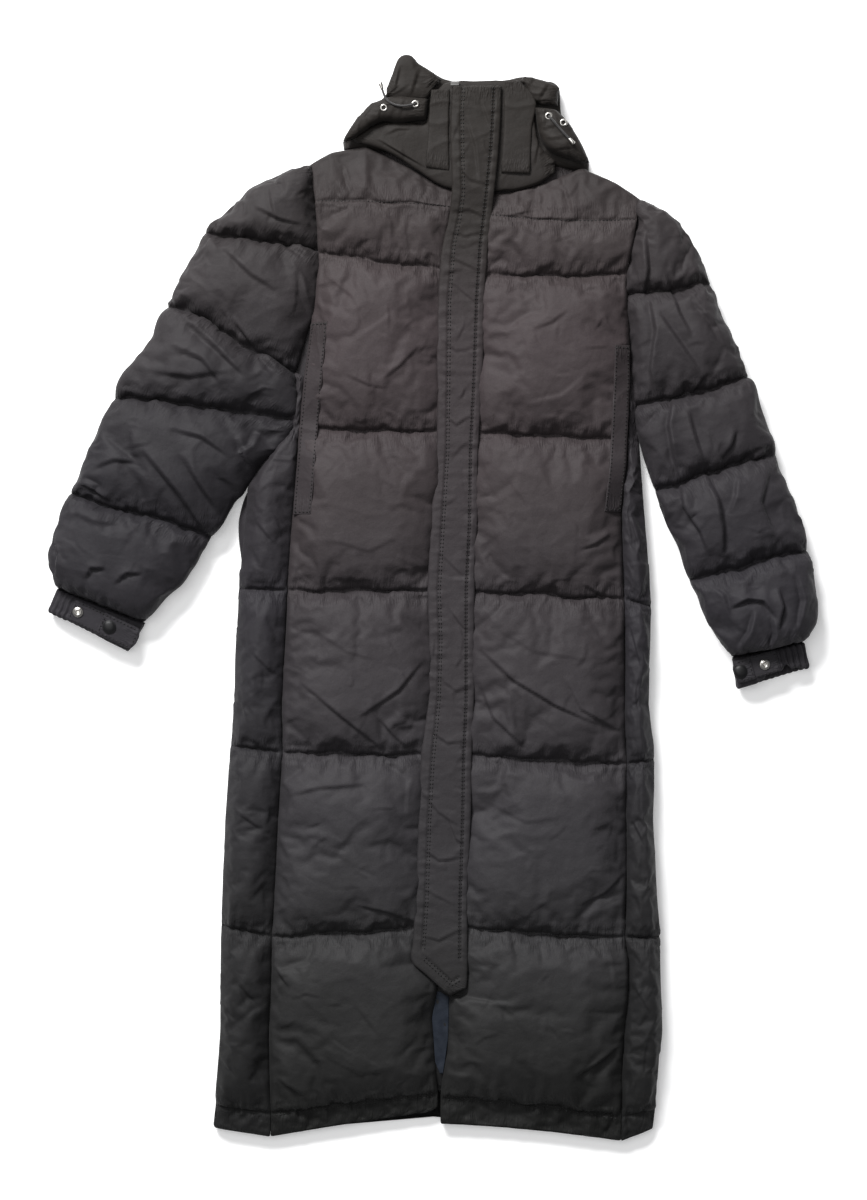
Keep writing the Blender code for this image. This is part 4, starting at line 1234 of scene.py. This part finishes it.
push = sum(groove_push(points, line, *GROOVE) for line in flap_lines[:5:2])
across = np.stack([points[:, 0] / 0.03, points[:, 1] / 0.0065, points[:, 2]], axis=1)
near = np.minimum(*(beside(points, line)[0] for line in flap_lines[:3:2]))
push += FLAP_FOLD * drifts(across, 1.0, 2.0) * np.exp(-near / 0.007)
points[:, 2] += push * (points[:, 2] > 0.030)
placed(flap.data, points)
finished(flap, SHELL_NECK, "shell_cloth", "front_flap")


# Hood and collar.
# The hood lies folded behind the neck with its two upper corners showing; its brim comes round
# to the front on each side, and the collar's inner stand and two front tabs lie on top of it.
HOOD_ROWS = metres((
    (-1000, 5220, -1010, 5310, 100), (-900, 5210, -910, 5450, 180), (-780, 5210, -770, 5620, 210),
    (-620, 5200, -570, 5770, 220), (-450, 5190, -450, 5950, 220), (-320, 5180, -360, 6200, 220),
    (-180, 5170, -250, 6240, 220), (0, 5150, -50, 6140, 220), (200, 5140, 180, 6000, 220),
    (500, 5110, 500, 5990, 210), (800, 5090, 820, 6010, 210), (1050, 5070, 1070, 6060, 220),
    (1280, 5050, 1280, 6010, 220), (1440, 5035, 1480, 5940, 220), (1560, 5010, 1530, 5580, 220),
    (1680, 4980, 1670, 5390, 210), (1780, 4960, 1790, 5180, 160), (1840, 4950, 1845, 5060, 100),
))
PEAK_RIGHT = metres((
    (-510, 5790, -500, 5830, 100), (-440, 5780, -430, 6020, 140), (-340, 5770, -350, 6240, 160),
    (-240, 5760, -240, 6265, 160), (-140, 5760, -130, 6180, 150), (-40, 5770, -10, 6110, 140),
    (20, 5850, 80, 6040, 120), (60, 5930, 130, 5995, 80),
))
PEAK_LEFT = metres((
    (1060, 5980, 1070, 6020, 80), (1110, 5880, 1130, 6030, 120), (1190, 5760, 1230, 6010, 140),
    (1270, 5710, 1340, 5980, 150), (1370, 5700, 1430, 5940, 140), (1470, 5690, 1490, 5900, 100),
))
BRIM_RIGHT = metres((
    (-985, 5275, -1000, 5295, 120), (-890, 5315, -920, 5420, 190), (-780, 5385, -830, 5540, 210),
    (-660, 5465, -700, 5670, 230), (-530, 5515, -520, 5770, 235), (-360, 5490, -360, 5790, 235),
    (-200, 5510, -200, 5780, 230), (-40, 5530, -20, 5765, 200),
))
BRIM_LEFT = metres((
    (1205, 5670, 1450, 5640, 200), (1220, 5530, 1575, 5515, 235), (1250, 5370, 1665, 5385, 235),
    (1330, 5210, 1745, 5255, 230), (1490, 5110, 1800, 5140, 190), (1690, 5050, 1840, 5040, 120),
))
COLLAR_ROWS = metres((
    (-860, 5285, -880, 5305, 60), (-690, 5250, -700, 5425, 100), (-450, 5150, -480, 5490, 115),
    (-210, 4990, -220, 5490, 115), (-40, 4880, -30, 5520, 115), (30, 4830, 10, 5740, 115),
    (120, 4780, 120, 5920, 115), (280, 4730, 300, 5980, 115), (520, 4710, 520, 5980, 115),
    (770, 4710, 810, 5980, 115), (1000, 4720, 1020, 5970, 115), (1120, 4750, 1140, 5850, 115),
    (1240, 4790, 1190, 5580, 115), (1340, 4850, 1270, 5240, 100), (1440, 4930, 1440, 5060, 60),
))
TAB_RIGHT = metres((
    (10, 5870, 225, 5880), (-20, 5400, 212, 5400), (-50, 4980, 222, 4940),
))
TAB_LEFT = metres((
    (860, 5970, 1020, 5970), (855, 5840, 1172, 5830), (845, 5400, 1170, 5400), (810, 4920, 1150, 4910),
))
HOOD_LEVEL = 0.0222
TAB_LEVEL = 0.0330
TAB_CLOTH = 0.0028
# Each piece: its rows, the height it lies at, the points round it, its squareness, its dents and its rumples.
NECK_PIECES = (
    ("hood", HOOD_ROWS, 0.0, 72, 3.4, 0.0018, 0.0016),
    ("hood_peak_right", PEAK_RIGHT, HOOD_LEVEL, 44, 3.0, 0.0016, 0.0014),
    ("hood_peak_left", PEAK_LEFT, HOOD_LEVEL, 40, 3.0, 0.0016, 0.0014),
    ("hood_brim_right", BRIM_RIGHT, HOOD_LEVEL, 48, 2.8, 0.0012, 0.0012),
    ("hood_brim_left", BRIM_LEFT, HOOD_LEVEL, 48, 2.8, 0.0012, 0.0012),
    ("collar", COLLAR_ROWS, HOOD_LEVEL, 90, 4.0, 0.0010, 0.0008),
)
NECK_CREASES = creases({
    "hood": ((24, 50, -60, 545, -30, 600),),
    "hood_peak_right": (
        (20, 35, -40, 585, -34, 615), (24, 40, -22, 580, -12, 612), (16, 30, -4, 588, 6, 601),
    ),
    "hood_peak_left": ((16, 30, 112, 590, 120, 600), (22, 35, 124, 574, 137, 595)),
    "hood_brim_right": ((12, 30, -60, 548, -54, 575), (12, 26, -35, 552, -30, 576)),
    "hood_brim_left": (
        (16, 26, 128, 540, 150, 546), (16, 26, 132, 528, 158, 532), (14, 26, 140, 517, 168, 520),
    ),
    "collar": ((20, 45, -60, 530, -30, 512, -6, 498), (14, 40, 120, 500, 126, 530)),
})
neck_pieces = {}
for seed, (node, rows, level, around, power, dent, rumple) in enumerate(NECK_PIECES, 20):
    piece = loft(f"{node}_cloth", laid(rows, level), around, power, ends=(0.004, 0.004), step=0.0040)
    smoothed(piece)
    wrinkled(piece, NECK_CREASES[node], dent=dent, rumple=0.4 * rumple, worn=12, seed=seed)
    neck_pieces[node] = finished(piece, SHELL_NECK, "shell_cloth", node)
for node, rows in (("collar_front_right", TAB_RIGHT), ("collar_front_left", TAB_LEFT)):
    rows = laid(rows, TAB_LEVEL, TAB_CLOTH)
    piece = loft(f"{node}_cloth", rows, around=36, power=4.5, ends=(0.003, 0.003), step=0.0032)
    smoothed(piece)
    wrinkled(piece, dent=0.0007, rumple=0.0006, seed=30.0)
    neck_pieces[node] = finished(piece, SHELL_NECK, "shell_cloth", node)


# Pocket welts.
# A flat strip of doubled cloth runs along each side-front seam over the pocket's mouth, stitched
# along both edges and tacked down at its ends; it lies on the padding and bridges its quilting line.
# Each row: how far up it is, and the strip's outer and inner edge.
WELTS = metres({
    "pocket_welt_right": (
        (3200, -1372, -1175), (2620, -1442, -1230), (2000, -1500, -1285), (1600, -1530, -1315),
        (980, -1580, -1365),
    ),
    "pocket_welt_left": (
        (2930, 2302, 2120), (2550, 2302, 2110), (1850, 2268, 2080), (1550, 2258, 2060),
        (1010, 2205, 1995),
    ),
})
WELT_THICKNESS = 0.0030
WELT_PLACES = 40
WELT_SUNK = 0.0012
WELT_STITCH_INSET = 0.0022
STITCH_PITCH = 0.0044
STITCH_LENGTH = 0.0026
STITCH_RADIUS = 0.0007
LOWEST_STITCH = 0.004


def eased(values, reach):
    """The values averaged with their neighbours."""
    padded = np.pad(values, reach, mode="edge")
    return np.convolve(padded, np.ones(2 * reach + 1) / (2 * reach + 1), mode="valid")


def sew(name, tree, lines):
    """Stitches along lines of (x, y) points, lying on a surface, as near-black beads: the thread with painted
    shade of its stitch holes.
    """
    mesh = bmesh.new()
    for line in lines:
        line = np.array(line)
        gone = gone_along(line)
        for start in np.arange(STITCH_PITCH / 2.0, gone[-1] - STITCH_LENGTH, STITCH_PITCH):
            ends = []
            for at in (start, start + STITCH_LENGTH):
                x, y = point_on(line, gone, at)
                ends.append(Vector((x, y, height(tree, x, y))))
            if min(end.z for end in ends) < LOWEST_STITCH:
                continue
            run = ends[1] - ends[0]
            turn = Vector((1.0, 0.0, 0.0)).rotation_difference(run).to_matrix().to_4x4()
            sized = Matrix.Diagonal((run.length / 2.0, STITCH_RADIUS, STITCH_RADIUS, 1.0))
            middle = (ends[0] + ends[1]) / 2.0 + Vector((0.0, 0.0, 0.6 * STITCH_RADIUS))
            place = Matrix.Translation(middle) @ turn @ sized
            bmesh.ops.create_icosphere(mesh, subdivisions=1, radius=1.0, matrix=place)
    finished(linked(name, data_of(mesh, name)), THREAD_AND_HOLE_SHADE, "shell_cloth")


# Painted shade: the stitch beads are near black, the dark thread coloured also with the shade that falls in
# its stitch holes.
thread_and_hole_shade = Finish("thread_and_hole_shade", Roughness=0.5, Specular_IOR_Level=0.4)
thread_and_hole_shade.feed("Base Color", colour(0.0040, 0.0036, 0.0036))
THREAD_AND_HOLE_SHADE = thread_and_hole_shade.material
front_top = surface(*fronts.values(), *sides.values())
welt_lines = []
welts = {}
for node, rows in WELTS.items():
    rows = np.array(rows)
    down = np.linspace(rows[0, 0], rows[-1, 0], WELT_PLACES)
    outer = np.interp(-down, -rows[:, 0], rows[:, 1])
    inner = np.interp(-down, -rows[:, 0], rows[:, 2])
    heights = []
    for edge, inset in ((outer, 0.12), (inner, 0.0)):
        at = mix(edge, inner, inset)
        tops = np.array([height(front_top, x, y) for x, y in zip(at, down)])
        heights.append(eased(tops, 3) - WELT_SUNK)
    rows = np.stack([outer, down, inner, down, *heights, np.full(WELT_PLACES, WELT_THICKNESS)], axis=1)
    piece = loft(f"{node}_cloth", rows, around=26, power=5.0, ends=(0.0015, 0.0015), step=0.0040)
    smoothed(piece)
    wrinkled(piece, dent=0.0004, rumple=0.0005, seed=40.0)
    welts[node] = finished(piece, SHELL_NECK, "shell_cloth", node)
    inset = WELT_STITCH_INSET * np.sign(inner - outer)
    welt_lines.append(np.stack([outer + inset, down], axis=1))
    welt_lines.append(np.stack([inner - inset, down], axis=1))
    for y in (down[0] - 0.003, down[-1] + 0.003):
        x0, x1 = np.interp(-y, -down, outer), np.interp(-y, -down, inner)
        welt_lines.append(np.array([(x0, y), (x1, y)]))
sew("welt_stitches", surface(*welts.values()), welt_lines)

# Stitches of the flap and the hem.
# The flap has two rows beside its right edge and two beside its left; the hem is turned up and
# held by two rows a little above its edge, and a third thread line crosses the yoke.
sew("flap_stitches", surface(flap), flap_lines)
HEM_DROPS = (0.0, -0.0034)
hem_lines = []
for node, lines in FRONT_LINES.items():
    first, middle, last, _ = lines[-1]
    edge = Outline(node).sides(middle)
    u = np.linspace(0.02, 0.98, 30)
    x = mix(edge[0], edge[1], u) if node == "front_right" else mix(edge[1], edge[0], u)
    bend = 4.0 * u * (1.0 - u) * (middle - (first + last) / 2.0)
    for drop in HEM_DROPS:
        hem_lines.append(np.stack([x, mix(first, last, u) + bend + drop], axis=1))
    hem_lines.append(front_lines(node)[0])
sew("hem_stitches", front_top, hem_lines)

# Lining.
# A thin navy lining shows in the slit below the flap, behind the fronts' open edges.
LINING_ROWS = 60
LINING_COLUMNS = 18
LINING_INSET = 0.0016
LINING_LIFT = 0.0022
LINING_THICKNESS = 0.0007
navy = Finish("lining_cloth", Roughness=0.7, Specular_IOR_Level=0.14, Sheen_Weight=0.02)
shades = colour(0.0095, 0.0125, 0.0185), colour(0.0160, 0.0200, 0.0290)
navy.feed("Base Color", navy.blend(navy.grain(0.012, 2.0), *shades))
navy.bumps((navy.grain(0.006, 3.0), 0.0006), (navy.grain(0.0008, 2.0), 0.00008))
lining_outline = Outline("lining")


def place_lining(column, row):
    y = mix(lining_outline.high[1], lining_outline.low[1], row / (LINING_ROWS - 1))
    right, left = lining_outline.sides(y)
    x = mix(right - LINING_INSET, left + LINING_INSET, column / (LINING_COLUMNS - 1))
    fold = 0.0010 * math.sin((x * 0.8 + y * 0.25) / 0.0024) + 0.0008 * drift(x, y, 0.009)
    return Vector((x, y, BACK_TOP + LINING_LIFT + fold)), False, 1.0


lining = grid_piece("lining_cloth_sheet", LINING_COLUMNS, LINING_ROWS, place_lining)
with edited(lining.data) as mesh:
    bmesh.ops.solidify(mesh, geom=mesh.faces[:], thickness=LINING_THICKNESS)
finished(lining, navy.material, "lining_cloth", "lining")

# Cuffs.
# The sleeve is gathered into a short cuff with elastic through it; its mouth is open, and a tab
# with a metal snap and a black cap crosses it.
# Each cuff: the outer and inner point at the sleeve, and the same at the mouth.
CUFFS = metres({
    "right": ((-4310, 135), (-3300, -268), (-4420, -140), (-3500, -600)),
    "left": ((4325, -490), (3500, -670), (4380, -790), (3560, -1040)),
})
# The mouth's edge turns in: how far in from each side and how far up the cuff, its height and its thickness.
CUFF_MOUTH = ((0.0012, 0.0, 0.0015, 0.019), (0.0040, 0.002, 0.004, 0.0135), (0.0060, 0.014, 0.006, 0.0090))
CUFF_ROWS = (0.3, 0.7)
CUFF_THICKNESS = 0.022
RIB = 0.0068
RIB_DEPTH = 0.0044
# The share of each cuff's width with bare ribs on top, and how far its mouth's upper edge draws back.
RIBBED = {"right": 0.22, "left": 0.36}
MOUTH_GAPES = {"right": 0.0012, "left": 0.0085}
cuffs = {}
for side, corners in CUFFS.items():
    outer, inner, outer_mouth, inner_mouth = map(Vector, corners)
    across = (inner_mouth - outer_mouth).normalized()
    deep = ((outer + inner) - (outer_mouth + inner_mouth)).normalized()
    rows = [(*outer, *inner, 0.002, 0.002, 0.019)]
    for share in CUFF_ROWS:
        edges = (*outer.lerp(outer_mouth, share), *inner.lerp(inner_mouth, share))
        rows.append((*edges, 0.0, 0.0, CUFF_THICKNESS))
    rows.append((*outer_mouth.lerp(outer, 0.06), *inner_mouth.lerp(inner, 0.06), 0.0, 0.0, CUFF_THICKNESS))
    for inward, inside, low, thick in CUFF_MOUTH:
        edges = (
            *(outer_mouth + across * inward + deep * inside),
            *(inner_mouth - across * inward + deep * inside),
        )
        rows.append((*edges, low, low, thick))
    piece = loft(f"cuff_{side}_cloth", rows, around=132, power=3.0, ends=(0.003, 0.0), step=0.0022)
    mesh = piece.data
    points = positions(mesh)
    ribs = np.abs(np.sin(np.pi * measure(mesh, "run") / RIB)) ** 0.7 - 0.6
    uneven = 0.75 + 0.5 * drifts(points, 0.02, 2.0)
    flat = points[:, :2] - np.array(outer_mouth)
    share = flat @ np.array(across) / (inner_mouth - outer_mouth).length
    bare = 1.0 - np.clip((share - RIBBED[side]) / 0.04, 0.0, 1.0)
    gathered = np.where(points[:, 2] > CUFF_THICKNESS * 0.6, bare, 0.7)
    points = points + normals_of(mesh) * (RIB_DEPTH * ribs * uneven * gathered)[:, None]
    gape = MOUTH_GAPES[side] * np.sin(np.pi * np.clip((share - 0.06) / 0.66, 0.0, 1.0)) ** 0.6
    gape *= 1.0 + 0.30 * np.sin(share * 26.0) + 0.20 * np.sin(share * 47.0)
    gape *= 1.0 - np.clip(flat @ np.array(deep) / 0.020, 0.0, 1.0)
    gape *= np.clip((points[:, 2] / CUFF_THICKNESS - 0.40) / 0.25, 0.0, 1.0)
    points[:, :2] += gape[:, None] * np.array(deep)
    points[:, 2] = np.maximum(points[:, 2], 0.0)
    placed(mesh, points)
    smoothed(piece)
    cuffs[side] = finished(piece, SHELL_SIDE, "shell_cloth", f"cuff_{side}")

# Each tab: its two ends, and where its socket and its cap sit.
TABS = metres({
    "right": ((-4230, -60), (-3390, -460), (-4060, -140), (-3700, -310)),
    "left": ((4300, -610), (3520, -840), (3860, -745), (3585, -825)),
})
# How far along its line each tab comes out of the fold, and how far along its overlapping end starts.
TAB_STARTS = {"right": 0.010, "left": 0.029}
TAB_ENDS = {"right": 0.047, "left": 0.060}
TAB_WIDTH = 0.026
TAB_THICKNESS = 0.0022
TAB_TIP = 0.005
TAB_SUNK = 0.0002
TAB_STITCH_INSET = 0.0022
metal = Finish("plated_metal", Metallic=1.0, Roughness=0.28)
wear = metal.grain(0.0016, 3.0)
metal.feed("Base Color", metal.blend(wear, colour(0.34, 0.33, 0.31), colour(0.52, 0.50, 0.47)))
metal.feed("Roughness", wear * 0.22 + 0.18)
METAL = metal.material
plastic = Finish("snap_plastic", Specular_IOR_Level=0.25)
plastic.feed("Base Color", colour(0.004, 0.004, 0.0045))
plastic.feed("Roughness", plastic.grain(0.002, 2.0) * 0.2 + 0.35)
PLASTIC = plastic.material


SPUN_STEPS = 48


def spun(name, profile, at, material, slot, node, direction=(0.0, 0.0, 1.0), looped=False):
    """A turned piece: a profile of (radius, height) points spun about its axis."""
    mesh = bmesh.new()
    ring_points = [mesh.verts.new((radius, 0.0, up)) for radius, up in profile]
    pairs = list(zip(ring_points, ring_points[1:]))
    if looped:
        pairs.append((ring_points[-1], ring_points[0]))
    edges = [mesh.edges.new(pair) for pair in pairs]
    bmesh.ops.spin(
        mesh,
        geom=ring_points + edges,
        cent=(0.0, 0.0, 0.0),
        axis=(0.0, 0.0, 1.0),
        angle=2.0 * math.pi,
        steps=SPUN_STEPS,
        use_merge=True,
    )
    bmesh.ops.remove_doubles(mesh, verts=mesh.verts[:], dist=1e-6)
    bmesh.ops.recalc_face_normals(mesh, faces=mesh.faces[:])
    turn = Vector((0.0, 0.0, 1.0)).rotation_difference(Vector(direction)).to_matrix()
    bmesh.ops.rotate(mesh, verts=mesh.verts[:], cent=(0.0, 0.0, 0.0), matrix=turn)
    bmesh.ops.translate(mesh, verts=mesh.verts[:], vec=at)
    return finished(linked(name, data_of(mesh, name)), material, slot, node)


SOCKET = metres((
    (0, 10), (10, 10), (20, 9), (23, 11), (25, 22), (28, 27), (34, 28), (39, 25), (43, 20), (52, 19),
    (59, 15), (62, 9), (62, 0), (0, 0),
))
CAP = metres((
    (0, 34), (20, 33), (40, 30), (56, 25), (66, 19), (70, 15), (73, 16), (77, 14), (79, 8), (79, 0),
    (0, 0),
))


def strap(name, under, head, foot, start, width):
    """A flat strip of doubled cloth from start to the foot, lying over what is under it."""
    along = (foot - head).normalized()
    over = Vector((-along.y, along.x))
    length = (foot - head).length
    rounded = length - TAB_TIP + TAB_TIP * np.sin(np.linspace(0.15, 1.5, 8))
    at = np.concatenate([np.linspace(start, length - TAB_TIP, 24), rounded])
    tops = [height(under, *(head + along * min(max(a, 0.006), length - 0.008)), CUFF_THICKNESS) for a in at]
    rows = []
    for a, top in zip(at, eased(np.array(tops), 4)):
        half = width / 2.0 * math.sqrt(max(0.10, 1.0 - max(0.0, (a - length + TAB_TIP) / TAB_TIP) ** 2))
        middle = head + along * a
        low = top - TAB_SUNK
        rows.append((*(middle - over * half), *(middle + over * half), low, low, TAB_THICKNESS))
    piece = loft(name, rows, around=34, power=5.0, ends=(0.001, 0.0), step=0.0028)
    smoothed(piece)
    wrinkled(piece, dent=0.0002, rumple=0.0003, seed=50.0)
    return piece


tab_lines = []
tabs = {}
tab_ends = {}
for side, (head, foot, socket_at, cap_at) in TABS.items():
    head, foot = Vector(head), Vector(foot)
    along = (foot - head).normalized()
    over = Vector((-along.y, along.x))
    length = (foot - head).length
    start, end_start = TAB_STARTS[side], TAB_ENDS[side]
    piece = strap(f"cuff_tab_{side}_cloth", surface(cuffs[side]), head, foot, start, TAB_WIDTH)
    tabs[side] = finished(piece, SHELL_SIDE, "shell_cloth", f"cuff_tab_{side}")
    past, wider = along * 0.0015, TAB_WIDTH + 0.0014
    end = strap(f"cuff_tab_end_{side}", surface(piece), head, foot + past, end_start, wider)
    tab_ends[side] = finished(end, SHELL_SIDE, "shell_cloth")
    inset = TAB_WIDTH / 2.0 - TAB_STITCH_INSET
    for sign in (-1.0, 1.0):
        ends = (start + 0.002, length - 0.004)
        tab_lines.append([tuple(head + along * a + over * sign * inset) for a in ends])
    for a in (start + 0.0024, end_start + 0.0024, length - 0.0024):
        tab_lines.append([tuple(head + along * a + over * sign * inset) for sign in (-1.0, 1.0)])
    tab_top = surface(piece, end)
    for part, profile, place, material, slot in (
        ("snap_socket", SOCKET, socket_at, METAL, "plated_metal"),
        ("snap_cap", CAP, cap_at, PLASTIC, "snap_plastic"),
    ):
        seat = height(tab_top, *place) - TAB_SUNK
        spun(f"{part}_{side}_stud", profile, (*place, seat), material, slot, f"{part}_{side}")
sew("tab_stitches", surface(*tabs.values(), *tab_ends.values()), tab_lines)

# Eyelets, drawcords and zip.
# A round elastic drawcord runs in the hood's brim and comes out of metal eyelets on each side,
# each free end short and finished with a metal end; the zip's top stop shows beside the flap.
EYELETS = {
    "eyelet_right_front": (-0.017, 0.569),
    "eyelet_right_back": (-0.053, 0.5645),
    "eyelet_left_front": (0.136, 0.555),
    "eyelet_left_back": (0.153, 0.5475),
}
EYELET = metres((
    (21, -8), (20, 4), (22, 12), (27, 16), (34, 16), (41, 12), (46, 5), (47, -3), (46, -10),
))
brim_top = surface(neck_pieces["hood_brim_right"], neck_pieces["hood_brim_left"])
BRIM_TOP = 0.044
for node, place in EYELETS.items():
    at = (*place, height(brim_top, *place, BRIM_TOP))
    spun(f"{node}_ring", EYELET, at, METAL, "plated_metal", node, looped=True)

tape = Finish("zip_tape", Roughness=0.6)
ridges = tape.bands("Y", Scale=160.0, Distortion=0.4)
tape.feed("Base Color", tape.blend(ridges, colour(0.070, 0.068, 0.066), colour(0.135, 0.132, 0.126)))
tape.bumps((ridges, 0.0004))
mesh = bmesh.new()
bmesh.ops.create_cube(mesh, size=1.0)
ends = positions(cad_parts["zip_top"].data)
low, high = Vector(ends.min(axis=0)), Vector(ends.max(axis=0))
bmesh.ops.scale(mesh, verts=mesh.verts[:], vec=high - low)
bmesh.ops.translate(mesh, verts=mesh.verts[:], vec=(low + high) / 2.0)
bmesh.ops.bevel(mesh, geom=mesh.edges[:], offset=0.0007, affect="EDGES", segments=3, profile=0.5, material=-1)
finished(linked("zip_top_tape", data_of(mesh, "zip_top_tape")), tape.material, None, "zip_top")

braid = Finish("cord", Roughness=0.6, Sheen_Weight=0.1)
strands = braid.bands("DIAGONAL", Scale=360.0, Distortion=2.0)
braid.feed("Base Color", braid.blend(strands, colour(0.010, 0.009, 0.009), colour(0.030, 0.028, 0.028)))
braid.bumps((strands, 0.0002))
CORD = braid.material
CORD_DIAMETER = 0.0026
CORDS = metres({
    "right": (
        (-170, 5690, 470), (-230, 5672, 486), (-300, 5662, 488), (-370, 5668, 484), (-430, 5688, 478),
        (-480, 5722, 474), (-515, 5768, 470), (-535, 5815, 466), (-548, 5855, 462),
    ),
    "left": (
        (1360, 5550, 470), (1388, 5520, 484), (1420, 5482, 486), (1455, 5442, 484), (1490, 5402, 482),
        (1525, 5362, 480), (1560, 5325, 478), (1592, 5290, 478),
    ),
})
CORD_END = metres((
    (0, 0), (16, 0), (19, 4), (19, 26), (22, 34), (24, 48), (24, 74), (21, 83), (12, 87), (0, 88),
))
for side, route in CORDS.items():
    route = np.array(route)
    knots = gone_along(route)
    line = flowing(knots, route, np.linspace(0.0, knots[-1], 60))
    curve = bpy.data.curves.new(f"drawcord_{side}_line", "CURVE")
    curve.dimensions = "3D"
    curve.bevel_depth = CORD_DIAMETER / 2.0
    curve.bevel_resolution = 5
    curve.use_fill_caps = True
    spline = curve.splines.new("POLY")
    spline.points.add(len(line) - 1)
    for target, point in zip(spline.points, line):
        target.co = (*point, 1.0)
    spline.use_smooth = True
    curve.materials.append(CORD)
    cord = linked(f"drawcord_{side}_line", curve)
    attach(cord, "root")
    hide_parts(f"drawcord_{side}")
    run = Vector(line[-1] - line[-2]).normalized()
    at = Vector(line[-1]) + run * 0.0001
    end = spun(f"cord_end_{side}_cap", CORD_END, at, METAL, "plated_metal", f"cord_end_{side}", run)

low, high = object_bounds()
